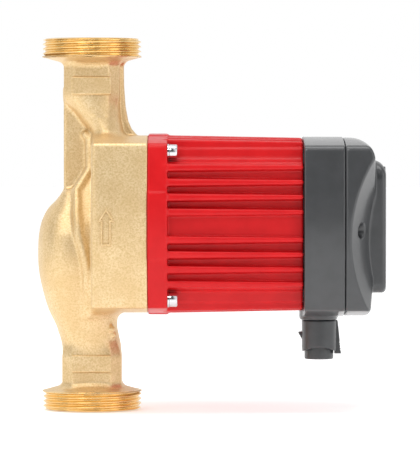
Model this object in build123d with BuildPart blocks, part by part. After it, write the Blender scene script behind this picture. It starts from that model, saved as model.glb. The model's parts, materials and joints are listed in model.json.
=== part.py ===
"""Inline wet-rotor circulator pump for a heating circuit.

A cast bronze pump housing sits in the pipe, a finned die-cast motor is bolted to
its side, and a plastic control box with a plug connector closes the motor's end.

The pipe runs along Z, and the motor shaft along X at the height AXIS_Z. The origin
is the centre of the inlet union's sealing face. All sizes are in millimetres.
"""
import os
from math import radians, tan

from build123d import *

os.makedirs("parts", exist_ok=True)

# Pipe connections: G 1 1/2 unions, 180 mm between their sealing faces
PORT_TO_PORT = 180.0
THREAD_R = 23.9
THREAD_PITCH = 2.309
THREAD_DEPTH = 1.479
THREAD_LENGTH = 9.4
RIM_CHAMFER = 1.1
COLLAR_FLARE = 4.2
PORT_BORE_R = 12.5
PORT_BORE = 12.0
NECK_BORE_R = 11.4
NECK_HALF = 14.5
UPPER_NECK_HALF = 13.6

# Stations along the motor shaft
AXIS_Z = 90.0
DRUM_BACK = 0.8
DRUM_FRONT = 27.5
FLANGE_FRONT = 37.0
BODY_END = 101.7
BOX_BACK = 102.2
BOX_SEAM = 121.5
COVER_FRONT = 137.0
POD_FRONT = 141.8

# Sections square to the shaft: squares whose sides bow out to a crown
DRUM_SECTION = (40.2, 39.4, 44.0)
FLANGE_SECTION = (39.6, 39.0, 43.4)
FLANGE_MIDDLE = (40.2, 39.4, 43.9)
BODY_SECTION_BACK = (39.3, 39.3, 43.1)
BODY_SECTION_END = (38.3, 38.3, 41.9)
BOX_SECTION = (40.4, 39.8, 44.3)
BOX_WALL = 2.8

# Cooling fins
FIN_CENTRES = (6.6, 13.7, 20.8, 27.9)
FIN_BACK = 3.5
FIN_END = 2.2
CHANNEL_FLOOR = 36.8
MIDDLE_FLOOR = 38.6
CORNER_NOTCH = 31.3
NOTCH_FLARE = 4.2

# Housing screws, M4 with washers
SCREW_AT = 35.2
SCREW_R = 2.0
SCREW_HEAD_R = 3.5
SCREW_HEAD = 4.0
WASHER = 0.8
SCREW_TIP = 15.0

# Hydraulics
CHAMBER_BACK = 7.2
CHAMBER_R = 33.0
EYE_R = 12.0
IMPELLER_R = 27.0
IMPELLER_BACK = 9.5
IMPELLER_FRONT = 24.0
SHROUD = 1.5
BLADES = 6
NECK_RING_R = 15.0
NECK_RING_BACK = 4.0
NECK_CLEARANCE = 0.3

# Rotor, bearings and can
SHAFT_R = 4.0
SHAFT_BACK = 9.8
SHAFT_END = 89.0
BEARING_END = 36.0
REAR_BEARING_BACK = 82.5
REAR_BEARING_END = 90.5
BEARING_R = 8.0
RUNNING_FIT = 0.05
ROTOR_BACK = 40.0
ROTOR_END = 78.0
ROTOR_R = 19.0
SLEEVE = 0.5
CORE_R = 12.0
CAN_R = 21.2
CAN_WALL = 0.6
CAN_END = 91.0
CAN_FLANGE_R = 36.0
PLATE = 1.5
CAN_FLANGE = 1.0

# Stator
STATOR_R = 33.0
STATOR_BACK = 44.0
STATOR_END = 76.0
YOKE_R = 28.0
TEETH = 6
TOOTH_WIDTH = 8.0
END_PLATE = 1.0

# Control box
FLOOR = 2.5
PCB_BACK = 110.0
PCB = 1.6
PANEL_BACK = 140.6
PANEL_FRONT = 141.6
BOARD_BACK = 131.6
BOARD_FRONT = 133.0
BUTTON_R = 4.4
BUTTON_AT = ((-9.0, -13.0), (9.0, -13.0))
COVER_SCREW_Y = 33.2
COVER_SCREW_Z = -2.5
COVER_SCREW_R = 1.5
COVER_HEAD_R = 3.2
COVER_SEAT = 2.6

# Plug connector under the box
PLUG_X = 110.3
PLUG_WIDTH = 16.6
PLUG_DEPTH = 26.0
PLUG_TOP = 43.6
PLUG_BOTTOM = 28.0
GLAND_R = 7.1
GLAND_BOTTOM = 24.3
GLAND_TOP = 34.0
GLAND_SEAL_R = 5.6
CABLE_R = 3.5
PIN_PITCH = 4.6

BASE_DOWN = (Align.CENTER, Align.CENTER, Align.MIN)


def across(x):
    """Plane square to the shaft at x, with its local axes along Y and Z."""
    return Plane(origin=(x, 0, AXIS_Z), x_dir=(0, 1, 0), z_dir=(1, 0, 0))


def bowed_square(x, section, inset=0.0):
    """Square outline whose four sides bow out to the section's crown."""
    side = section[0] - inset
    top = section[1] - inset
    crown = section[2] - inset
    with BuildSketch(across(x)) as outline:
        with BuildLine():
            ThreePointArc((-side, -top), (0, -crown), (side, -top))
            ThreePointArc((side, -top), (crown, 0), (side, top))
            ThreePointArc((side, top), (0, crown), (-side, top))
            ThreePointArc((-side, top), (-crown, 0), (-side, -top))
        make_face()
    return outline.sketch


def disc(x_from, x_to, radius, at=(0, 0), mode=Mode.ADD):
    """Cylinder along X between two stations, centred on the shaft or beside it."""
    with Locations(across(x_from) * Pos(at[0], at[1], 0)):
        Cylinder(radius, x_to - x_from, align=BASE_DOWN, mode=mode)


def slab(x_from, x_to, width, height, at=(0, 0), mode=Mode.ADD):
    """Block between two stations, width along Y and height along Z."""
    with Locations(across(x_from) * Pos(at[0], at[1], 0)):
        Box(width, height, x_to - x_from, align=BASE_DOWN, mode=mode)


def corners(y, z):
    """Four places that mirror each other about the shaft."""
    return [(y, z), (-y, z), (-y, -z), (y, -z)]


def upright(z_from, z_to, radius, at=(0, 0), mode=Mode.ADD):
    """Cylinder along Z between two heights."""
    with Locations((at[0], at[1], z_from)):
        Cylinder(radius, z_to - z_from, align=BASE_DOWN, mode=mode)


def duct(sections):
    """Ellipses of a duct from their heights, left X, right X and half widths in Y."""
    rings = []
    for height, left, right, half_width in sections:
        with BuildSketch(Plane.XY.offset(height)) as ring:
            with Locations(((left + right) / 2, 0)):
                Ellipse((right - left) / 2, half_width)
        rings.append(ring.sketch)
    return rings


def cut_thread(z_from, z_to):
    """Right-hand G thread cut into the open part about Z."""
    flank = (THREAD_PITCH - THREAD_PITCH / 6) / 2
    over = 0.3
    widen = over * tan(radians(27.5))
    with BuildLine() as helix:
        Helix(THREAD_PITCH, z_to - z_from, THREAD_R, center=(0, 0, z_from))
    start = Plane(origin=helix.line @ 0, x_dir=(1, 0, 0), z_dir=helix.line % 0)
    with BuildSketch(start) as groove:
        with BuildLine():
            Polyline(
                (over, flank + widen),
                (over, -flank - widen),
                (-THREAD_DEPTH, -THREAD_PITCH / 12),
                (-THREAD_DEPTH, THREAD_PITCH / 12),
                close=True,
            )
        make_face()
    sweep(groove.sketch, path=helix.line, is_frenet=True, mode=Mode.SUBTRACT)


# ---------------------------------------------------------------- pump housing
# union collar, standing on its sealing face and narrowing to the neck
with BuildPart() as collar:
    with BuildSketch(Plane.XZ):
        with BuildLine():
            Polyline(
                (0, 0),
                (THREAD_R - RIM_CHAMFER, 0),
                (THREAD_R, RIM_CHAMFER),
                (THREAD_R, THREAD_LENGTH),
                (THREAD_R - 6.0, THREAD_LENGTH + 1.5),
                (NECK_HALF, THREAD_LENGTH + COLLAR_FLARE),
                (0, THREAD_LENGTH + COLLAR_FLARE),
                close=True,
            )
        make_face()
    revolve(axis=Axis.Z)
    cut_thread(-1.6, THREAD_LENGTH - 0.6)

SUCTION_OUTSIDE = (
    (26.0, -14.4, 14.0, 14.4),
    (40.0, -17.1, 12.5, 17.5),
    (58.0, -23.9, 10.0, 24.0),
    (77.0, -26.3, 4.0, 25.5),
    (92.8, -23.9, 3.0, 21.0),
    (103.5, -13.4, 2.0, 10.0),
)
SUCTION_INSIDE = (
    (26.0, -11.0, 11.0, 11.0),
    (40.0, -13.0, 9.0, 13.0),
    (58.0, -19.0, 2.0, 19.0),
    (77.0, -21.5, -1.5, 21.5),
    (90.0, -20.0, -3.0, 18.0),
    (98.0, -14.0, -5.0, 9.0),
)
DISCHARGE_OUTSIDE = (
    (118.0, 2.0, 20.0, 26.0),
    (130.0, 0.6, 17.0, 21.0),
    (142.0, -6.5, 15.6, 16.5),
    (154.0, -13.6, 15.2, 14.6),
)
DISCHARGE_INSIDE = (
    (114.0, 10.0, 22.0, 21.0),
    (130.0, 4.0, 13.0, 17.0),
    (142.0, -3.0, 11.5, 12.5),
    (154.0, -11.0, 11.0, 11.0),
)
TOP = PORT_TO_PORT
with BuildPart() as pump_housing:
    extrude(bowed_square(DRUM_BACK, DRUM_SECTION), amount=DRUM_FRONT - DRUM_BACK)
    fillet(pump_housing.edges().filter_by(Axis.X), 1.5)
    loft(duct(SUCTION_OUTSIDE))
    loft(duct(DISCHARGE_OUTSIDE))
    for z_from, z_to, half in (
        (THREAD_LENGTH, 31.0, NECK_HALF),
        (TOP - 28.0, TOP - THREAD_LENGTH, UPPER_NECK_HALF),
    ):
        with BuildSketch(Plane.XY.offset(z_from)):
            RegularPolygon(half, 8, major_radius=False, rotation=22.5)
        extrude(amount=z_to - z_from)
    # stiffening web between the two ducts, and the rib beside the discharge neck
    with BuildSketch(Plane.XZ.offset(-3.0)):
        with Locations((-5.5, 126.0)):
            Rectangle(15.6, 52.0)
    extrude(amount=6.0)
    with BuildSketch(Plane.XZ.offset(-2.2)):
        with BuildLine():
            Polyline((11, 170), (15.6, 170), (16.2, 150), (18.6, 136), (24, 126), (11, 126), close=True)
        make_face()
    extrude(amount=4.4)
    # cast flow arrow on the side of the drum
    with BuildSketch(Plane.XZ.offset(42.6)):
        with BuildLine():
            Polyline(
                (5.6, 81), (10, 81), (10, 92), (11.8, 92), (8, 97.8), (4.2, 92), (5.6, 92), close=True
            )
        make_face()
        with BuildLine():
            Polyline(
                (6.4, 82), (9.2, 82), (9.2, 93), (9.8, 93), (8, 95.8), (6.2, 93), (6.4, 93), close=True
            )
        make_face(mode=Mode.SUBTRACT)
    extrude(amount=1.8)
    # wrench pads on the necks, and the two threaded collars
    for middle, height, half in ((22.6, 8.2, NECK_HALF), (TOP - 23.8, 9.2, UPPER_NECK_HALF)):
        with Locations((0, 0, middle)):
            Box(19.3, 2 * half + 1.4, height)
    add(collar.part)
    add(collar.part.moved(Location((0, 0, TOP), (180, 0, 0))))
    # waterways
    upright(-1, PORT_BORE, PORT_BORE_R, mode=Mode.SUBTRACT)
    upright(TOP - PORT_BORE, TOP + 1, PORT_BORE_R, mode=Mode.SUBTRACT)
    upright(PORT_BORE - 1, 27, NECK_BORE_R, mode=Mode.SUBTRACT)
    upright(TOP - 27, TOP - PORT_BORE + 1, NECK_BORE_R, mode=Mode.SUBTRACT)
    loft(duct(SUCTION_INSIDE), mode=Mode.SUBTRACT)
    loft(duct(DISCHARGE_INSIDE), mode=Mode.SUBTRACT)
    disc(CHAMBER_BACK, DRUM_FRONT + 1, CHAMBER_R, mode=Mode.SUBTRACT)
    disc(NECK_RING_BACK, CHAMBER_BACK + 1, NECK_RING_R, mode=Mode.SUBTRACT)
    disc(-12.0, NECK_RING_BACK + 1, EYE_R, mode=Mode.SUBTRACT)
    for place in corners(SCREW_AT, SCREW_AT):
        disc(SCREW_TIP - 1, DRUM_FRONT + 1, SCREW_R, at=place, mode=Mode.SUBTRACT)
pump_housing.part.label = "pump_housing"
export_step(pump_housing.part, "parts/pump_housing.step")

with BuildPart() as neck_ring:
    disc(NECK_RING_BACK, CHAMBER_BACK, NECK_RING_R)
    disc(NECK_RING_BACK - 1, CHAMBER_BACK + 1, EYE_R + 1.2 + NECK_CLEARANCE, mode=Mode.SUBTRACT)
neck_ring.part.label = "neck_ring"
export_step(neck_ring.part, "parts/neck_ring.step")

# ---------------------------------------------------------------- rotating parts
with BuildSketch() as blade:
    with BuildLine():
        ThreePointArc((12.4, 2.0), (19.6, -1.2), (25.0, -8.6))
        Line((25.0, -8.6), (24.0, -9.9))
        ThreePointArc((24.0, -9.9), (18.6, -2.8), (12.2, 0.4))
        Line((12.2, 0.4), (12.4, 2.0))
    make_face()

with BuildPart() as impeller:
    disc(IMPELLER_FRONT - SHROUD, IMPELLER_FRONT, IMPELLER_R)
    disc(IMPELLER_BACK + 3, IMPELLER_FRONT - SHROUD, SHAFT_R + 3.2)
    with BuildSketch(across(IMPELLER_BACK + SHROUD)):
        for turn in range(BLADES):
            add(blade.sketch, rotation=turn * 360 / BLADES)
    extrude(amount=IMPELLER_FRONT - IMPELLER_BACK - 2 * SHROUD)
    disc(0, IMPELLER_FRONT + 1, SHAFT_R, mode=Mode.SUBTRACT)
impeller.part.label = "impeller"
export_step(impeller.part, "parts/impeller.step")

with BuildPart() as impeller_shroud:
    disc(IMPELLER_BACK, IMPELLER_BACK + SHROUD, IMPELLER_R)
    disc(NECK_RING_BACK + 1, IMPELLER_BACK, EYE_R + 1.2)
    disc(0, IMPELLER_FRONT, EYE_R, mode=Mode.SUBTRACT)
impeller_shroud.part.label = "impeller_shroud"
export_step(impeller_shroud.part, "parts/impeller_shroud.step")

with BuildPart() as shaft:
    disc(SHAFT_BACK, SHAFT_END, SHAFT_R)
    chamfer(shaft.edges().filter_by(GeomType.CIRCLE), 0.6)
shaft.part.label = "shaft"
export_step(shaft.part, "parts/shaft.step")

with BuildPart() as thrust_ring:
    disc(BEARING_END + 0.3, ROTOR_BACK - 1, BEARING_R)
    disc(BEARING_END, ROTOR_BACK, SHAFT_R, mode=Mode.SUBTRACT)
thrust_ring.part.label = "thrust_ring"
export_step(thrust_ring.part, "parts/thrust_ring.step")

with BuildPart() as rotor_core:
    disc(ROTOR_BACK, ROTOR_END, CORE_R)
    disc(ROTOR_BACK, ROTOR_END, SHAFT_R, mode=Mode.SUBTRACT)
rotor_core.part.label = "rotor_core"
export_step(rotor_core.part, "parts/rotor_core.step")

with BuildPart() as rotor_magnets:
    disc(ROTOR_BACK, ROTOR_END, ROTOR_R)
    disc(ROTOR_BACK, ROTOR_END, CORE_R, mode=Mode.SUBTRACT)
rotor_magnets.part.label = "rotor_magnets"
export_step(rotor_magnets.part, "parts/rotor_magnets.step")

with BuildPart() as rotor_sleeve:
    disc(ROTOR_BACK - 1, ROTOR_END + 1, ROTOR_R + SLEEVE)
    disc(ROTOR_BACK, ROTOR_END, ROTOR_R, mode=Mode.SUBTRACT)
    disc(ROTOR_BACK - 2, ROTOR_END + 2, SHAFT_R, mode=Mode.SUBTRACT)
rotor_sleeve.part.label = "rotor_sleeve"
export_step(rotor_sleeve.part, "parts/rotor_sleeve.step")

# ---------------------------------------------------------------- bearings and can
with BuildPart() as bearing_plate:
    disc(DRUM_FRONT, DRUM_FRONT + PLATE, CAN_FLANGE_R)
    disc(DRUM_FRONT + PLATE, BEARING_END, BEARING_R + 2.5)
    disc(DRUM_FRONT - 1, BEARING_END + 1, BEARING_R, mode=Mode.SUBTRACT)
    with Locations(across(DRUM_FRONT + PLATE / 2)):
        with PolarLocations(15.0, 4):
            Cylinder(1.5, PLATE + 2, mode=Mode.SUBTRACT)
bearing_plate.part.label = "bearing_plate"
export_step(bearing_plate.part, "parts/bearing_plate.step")

with BuildPart() as front_bearing:
    disc(DRUM_FRONT, BEARING_END, BEARING_R)
    disc(DRUM_FRONT - 1, BEARING_END + 1, SHAFT_R + RUNNING_FIT, mode=Mode.SUBTRACT)
front_bearing.part.label = "front_bearing"
export_step(front_bearing.part, "parts/front_bearing.step")

with BuildPart() as rotor_can:
    disc(DRUM_FRONT + PLATE, DRUM_FRONT + PLATE + CAN_FLANGE, CAN_FLANGE_R)
    disc(DRUM_FRONT + PLATE, CAN_END + CAN_WALL, CAN_R + CAN_WALL)
    disc(DRUM_FRONT, CAN_END, CAN_R, mode=Mode.SUBTRACT)
    disc(REAR_BEARING_BACK - 0.5, CAN_END, BEARING_R + 2)
    disc(REAR_BEARING_BACK - 1.5, CAN_END, BEARING_R, mode=Mode.SUBTRACT)
rotor_can.part.label = "rotor_can"
export_step(rotor_can.part, "parts/rotor_can.step")

with BuildPart() as rear_bearing:
    disc(REAR_BEARING_BACK, REAR_BEARING_END, BEARING_R)
    disc(REAR_BEARING_BACK - 1, REAR_BEARING_END + 1, SHAFT_R + RUNNING_FIT, mode=Mode.SUBTRACT)
rear_bearing.part.label = "rear_bearing"
export_step(rear_bearing.part, "parts/rear_bearing.step")

O_RING_R = 38.2
O_RING = 0.9
with BuildPart() as housing_gasket:
    with Locations(across(DRUM_FRONT + O_RING + 0.05)):
        Torus(O_RING_R, O_RING)
housing_gasket.part.label = "housing_gasket"
export_step(housing_gasket.part, "parts/housing_gasket.step")

# ---------------------------------------------------------------- stator


def lamination(x):
    """Stator section: a yoke ring with teeth and their pole shoes."""
    with BuildSketch(across(x)) as section:
        Circle(STATOR_R)
        Circle(YOKE_R, mode=Mode.SUBTRACT)
        with PolarLocations((YOKE_R + CAN_R + 1.4) / 2, TEETH):
            Rectangle(YOKE_R - CAN_R - 0.4, TOOTH_WIDTH)
        with PolarLocations(CAN_R + 1.9, TEETH):
            Rectangle(1.8, TOOTH_WIDTH + 6)
    return section.sketch


with BuildPart() as stator_core:
    extrude(lamination(STATOR_BACK), amount=STATOR_END - STATOR_BACK)
stator_core.part.label = "stator_core"
export_step(stator_core.part, "parts/stator_core.step")

with BuildPart() as stator_insulators:
    extrude(lamination(STATOR_BACK - END_PLATE), amount=END_PLATE)
    extrude(lamination(STATOR_END), amount=END_PLATE)
stator_insulators.part.label = "stator_insulators"
export_step(stator_insulators.part, "parts/stator_insulators.step")

COIL_R = 25.5
COIL_THICK = 2.6
COIL_LENGTH = 41.0
COIL_WINDOW = 34.6
with BuildPart() as stator_windings:
    with Locations(across((STATOR_BACK + STATOR_END) / 2)):
        with PolarLocations(COIL_R, TEETH):
            Box(COIL_THICK, TOOTH_WIDTH + 6.4, COIL_LENGTH)
            Box(COIL_THICK + 1, TOOTH_WIDTH + 0.6, COIL_WINDOW, mode=Mode.SUBTRACT)
stator_windings.part.label = "stator_windings"
export_step(stator_windings.part, "parts/stator_windings.step")

# ---------------------------------------------------------------- motor housing
LEAD_AT = -26.0
BASE_SCREW = (29.0, 25.0)
BASE_SCREW_R = 1.6
with BuildPart() as motor_housing:
    extrude(bowed_square(DRUM_FRONT, FLANGE_SECTION), amount=FLANGE_FRONT - DRUM_FRONT)
    fillet(motor_housing.edges().filter_by(Axis.X), 1.5)
    # the flange's middle stands a little proud on each of its four sides
    with BuildSketch(across(DRUM_FRONT)):
        Rectangle(32, 100)
        Rectangle(100, 32)
    extrude(amount=FLANGE_FRONT - DRUM_FRONT)
    extrude(bowed_square(DRUM_FRONT, FLANGE_MIDDLE), amount=FLANGE_FRONT - DRUM_FRONT, mode=Mode.INTERSECT)
    loft([bowed_square(FLANGE_FRONT, BODY_SECTION_BACK), bowed_square(BODY_END, BODY_SECTION_END)])
    # open corners that give room to the housing screws
    with BuildSketch(across(FLANGE_FRONT)):
        for side, up in ((1, 1), (-1, 1), (-1, -1), (1, -1)):
            far = 52.0
            near = CORNER_NOTCH - NOTCH_FLARE
            with BuildLine():
                Polyline(
                    (side * CORNER_NOTCH, up * CORNER_NOTCH),
                    (side * far, up * near),
                    (side * far, up * far),
                    (side * near, up * far),
                    close=True,
                )
            make_face()
    extrude(amount=BODY_END - FLANGE_FRONT + 1, mode=Mode.SUBTRACT)
    # channels between the fins, which get thinner towards the box
    for turn in range(4):
        side = Plane(origin=(0, 0, AXIS_Z), x_dir=(1, 0, 0), z_dir=(0, -1, 0)).rotated((turn * 90, 0, 0))
        gaps = [(FIN_CENTRES[i], FIN_CENTRES[i + 1]) for i in range(3)]
        gaps += [(-upper, -lower) for lower, upper in gaps]
        for lower, upper in gaps:
            with BuildSketch(side.offset(CHANNEL_FLOOR)):
                with BuildLine():
                    Polyline(
                        (FLANGE_FRONT, lower + FIN_BACK / 2),
                        (BODY_END + 1, lower + FIN_END / 2),
                        (BODY_END + 1, upper - FIN_END / 2),
                        (FLANGE_FRONT, upper - FIN_BACK / 2),
                        close=True,
                    )
                make_face()
            extrude(amount=10, mode=Mode.SUBTRACT)
        middle = FIN_CENTRES[0]
        with BuildSketch(side.offset(MIDDLE_FLOOR)):
            with BuildLine():
                Polyline(
                    (FLANGE_FRONT + 0.6, -middle + FIN_BACK / 2),
                    (BODY_END + 1, -middle + FIN_END / 2),
                    (BODY_END + 1, middle - FIN_END / 2),
                    (FLANGE_FRONT + 0.6, middle - FIN_BACK / 2),
                    close=True,
                )
            make_face()
        extrude(amount=10, mode=Mode.SUBTRACT)
    # stator bore, can seat, sealing groove, screw holes and the lead window
    disc(DRUM_FRONT - 1, DRUM_FRONT + PLATE + CAN_FLANGE, CAN_FLANGE_R, mode=Mode.SUBTRACT)
    disc(DRUM_FRONT, BODY_END - 4.7, STATOR_R, mode=Mode.SUBTRACT)
    with BuildSketch(across(DRUM_FRONT)):
        Circle(O_RING_R + O_RING + 0.1)
        Circle(O_RING_R - O_RING - 0.1, mode=Mode.SUBTRACT)
    extrude(amount=2 * O_RING + 0.1, mode=Mode.SUBTRACT)
    for place in corners(SCREW_AT, SCREW_AT):
        disc(DRUM_FRONT - 1, FLANGE_FRONT + 1, SCREW_R + 0.2, at=place, mode=Mode.SUBTRACT)
    for place in corners(*BASE_SCREW):
        disc(BODY_END - 8, BODY_END + 1, BASE_SCREW_R, at=place, mode=Mode.SUBTRACT)
    slab(BODY_END - 6, BODY_END + 1, 16, 8, at=(0, LEAD_AT), mode=Mode.SUBTRACT)
motor_housing.part.label = "motor_housing"
export_step(motor_housing.part, "parts/motor_housing.step")

with BuildPart() as screw_washers:
    for place in corners(SCREW_AT, SCREW_AT):
        disc(FLANGE_FRONT, FLANGE_FRONT + WASHER, SCREW_HEAD_R + 0.2, at=place)
        disc(FLANGE_FRONT - 1, FLANGE_FRONT + 2, SCREW_R + 0.1, at=place, mode=Mode.SUBTRACT)
screw_washers.part.label = "screw_washers"
export_step(screw_washers.part, "parts/screw_washers.step")

with BuildPart() as housing_screws:
    head = FLANGE_FRONT + WASHER
    for place in corners(SCREW_AT, SCREW_AT):
        disc(SCREW_TIP, head, SCREW_R, at=place)
        disc(head, head + SCREW_HEAD, SCREW_HEAD_R, at=place)
        with BuildSketch(across(head + SCREW_HEAD - 2.2)):
            with Locations(place):
                RegularPolygon(1.5, 6, major_radius=False)
        extrude(amount=3, mode=Mode.SUBTRACT)
housing_screws.part.label = "housing_screws"
export_step(housing_screws.part, "parts/housing_screws.step")

with BuildPart() as motor_leads:
    for y in (-4.0, 0.0, 4.0):
        disc(80.6, PCB_BACK, 0.9, at=(y, LEAD_AT))
motor_leads.part.label = "motor_leads"
export_step(motor_leads.part, "parts/motor_leads.step")

# ---------------------------------------------------------------- control box base
with BuildPart() as box_gasket:
    extrude(bowed_square(BODY_END, BODY_SECTION_END, 4.5), amount=BOX_BACK - BODY_END)
    extrude(bowed_square(BODY_END, BODY_SECTION_END, 7.0), amount=1, mode=Mode.SUBTRACT)
box_gasket.part.label = "box_gasket"
export_step(box_gasket.part, "parts/box_gasket.step")

PCB_POST = (22.0, 31.0)
COVER_SCREWS = [(COVER_SCREW_Y, COVER_SCREW_Z), (-COVER_SCREW_Y, COVER_SCREW_Z)]
SEAL = 1.6
RIM = 1.0
with BuildPart() as box_base:
    extrude(bowed_square(BOX_BACK, BOX_SECTION), amount=BOX_SEAM - BOX_BACK)
    fillet(box_base.edges().filter_by(Axis.X), 2.0)
    # stepped lip around the plug socket
    with BuildSketch(Plane.XY.offset(PLUG_TOP + 0.2)):
        with Locations((PLUG_X - 0.4, 0)):
            SlotOverall(PLUG_DEPTH + 4, 18.6, rotation=90)
    extrude(amount=4)
    extrude(bowed_square(BOX_BACK + FLOOR, BOX_SECTION, BOX_WALL), amount=30, mode=Mode.SUBTRACT)
    for place in corners(*PCB_POST):
        disc(BOX_BACK + FLOOR, PCB_BACK, 2.6, at=place)
        disc(BOX_BACK + FLOOR + 1, PCB_BACK + 1, 1.2, at=place, mode=Mode.SUBTRACT)
    for place in COVER_SCREWS:
        disc(BOX_BACK + FLOOR, BOX_SEAM, 3.8, at=place)
        disc(107.0, BOX_SEAM + 1, COVER_SCREW_R, at=place, mode=Mode.SUBTRACT)
    for place in corners(*BASE_SCREW):
        disc(BOX_BACK - 1, BOX_BACK + FLOOR + 1, BASE_SCREW_R + 0.2, at=place, mode=Mode.SUBTRACT)
    slab(BOX_BACK - 1, BOX_BACK + FLOOR + 1, 16, 8, at=(0, LEAD_AT), mode=Mode.SUBTRACT)
    with Locations((PLUG_X, 0, 46)):
        Box(9.6, 18, 10, mode=Mode.SUBTRACT)
    # rebate for the seal
    extrude(bowed_square(BOX_SEAM - SEAL, BOX_SECTION, RIM), amount=SEAL + 1, mode=Mode.SUBTRACT)
box_base.part.label = "box_base"
export_step(box_base.part, "parts/box_base.step")

# ---------------------------------------------------------------- electronics
with BuildPart() as base_screws:
    floor = BOX_BACK + FLOOR
    for place in corners(*BASE_SCREW):
        disc(BODY_END - 7, floor, BASE_SCREW_R, at=place)
        disc(floor, floor + 2, 3.0, at=place)
base_screws.part.label = "base_screws"
export_step(base_screws.part, "parts/base_screws.step")

with BuildPart() as pcb:
    slab(PCB_BACK, PCB_BACK + PCB, 56, 68)
    fillet(pcb.edges().filter_by(Axis.X), 3)
    for place in corners(*PCB_POST):
        disc(PCB_BACK - 1, PCB_BACK + PCB + 1, 1.5, at=place, mode=Mode.SUBTRACT)
pcb.part.label = "pcb"
export_step(pcb.part, "parts/pcb.step")

with BuildPart() as pcb_screws:
    for place in corners(*PCB_POST):
        disc(PCB_BACK - 4, PCB_BACK + PCB, 1.2, at=place)
        disc(PCB_BACK + PCB, PCB_BACK + PCB + 1.5, 2.3, at=place)
pcb_screws.part.label = "pcb_screws"
export_step(pcb_screws.part, "parts/pcb_screws.step")

with BuildPart() as power_module:
    slab(BOX_BACK + FLOOR + 1, PCB_BACK, 22, 16)
power_module.part.label = "power_module"
export_step(power_module.part, "parts/power_module.step")

with BuildPart() as heat_pad:
    slab(BOX_BACK + FLOOR, BOX_BACK + FLOOR + 1, 20, 14)
heat_pad.part.label = "heat_pad"
export_step(heat_pad.part, "parts/heat_pad.step")

FACE = PCB_BACK + PCB
with BuildPart() as capacitors:
    for place in ((-13, 14), (4, 14)):
        disc(FACE, FACE + 15, 7.0, at=place)
    fillet(capacitors.edges().filter_by(GeomType.CIRCLE).group_by(Axis.X)[-1], 0.8)
capacitors.part.label = "capacitors"
export_step(capacitors.part, "parts/capacitors.step")

with BuildPart() as choke:
    disc(FACE, FACE + 9, 9.0, at=(-14, -12))
    disc(FACE, FACE + 10, 4.0, at=(-14, -12), mode=Mode.SUBTRACT)
    fillet(choke.edges().filter_by(GeomType.CIRCLE).group_by(Axis.X)[-1], 1.5)
choke.part.label = "choke"
export_step(choke.part, "parts/choke.step")

with BuildPart() as box_seal:
    extrude(bowed_square(BOX_SEAM - SEAL, BOX_SECTION, RIM), amount=SEAL)
    extrude(bowed_square(BOX_SEAM - SEAL, BOX_SECTION, 2.4), amount=SEAL, mode=Mode.SUBTRACT)
box_seal.part.label = "box_seal"
export_step(box_seal.part, "parts/box_seal.step")

# ---------------------------------------------------------------- cover with control pod
TOP_ROUND = 10.0
SCOOP_DEPTH = 2.8
SCOOP_Z = -8.0
SCOOP_SLOPE = 63.0
COVER_HIGH = 44.3
POD_SIDE = 25.5
POD_TOP = 32.4
POD_BOTTOM = -34.2
with BuildPart() as pod:
    with BuildSketch(across(BOX_SEAM + 8)):
        with BuildLine():
            FilletPolyline(
                (-POD_SIDE, POD_BOTTOM),
                (POD_SIDE, POD_BOTTOM),
                (POD_SIDE, POD_TOP),
                (-POD_SIDE, POD_TOP),
                radius=(4.5, 4.5, 10.0, 10.0),
                close=True,
            )
        make_face()
    extrude(amount=POD_FRONT - BOX_SEAM - 8)
    # the top rolls back towards the cover
    with BuildSketch(Plane.XZ.offset(-40)):
        with BuildLine():
            Polyline(
                (POD_FRONT - 7.0, AXIS_Z + POD_TOP + 1),
                (BOX_SEAM, AXIS_Z + POD_TOP + 1),
                (BOX_SEAM, AXIS_Z + POD_BOTTOM - 1),
                (POD_FRONT, AXIS_Z + POD_BOTTOM - 1),
                (POD_FRONT, AXIS_Z + POD_TOP - 9.6),
            )
            ThreePointArc(
                (POD_FRONT, AXIS_Z + POD_TOP - 9.6),
                (POD_FRONT - 1.6, AXIS_Z + POD_TOP - 3.6),
                (POD_FRONT - 7.0, AXIS_Z + POD_TOP + 1),
            )
        make_face()
    extrude(amount=80, mode=Mode.INTERSECT)
    fillet(pod.faces().filter_by(GeomType.PLANE).sort_by(Axis.X)[-1].edges(), 2.2)

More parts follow.
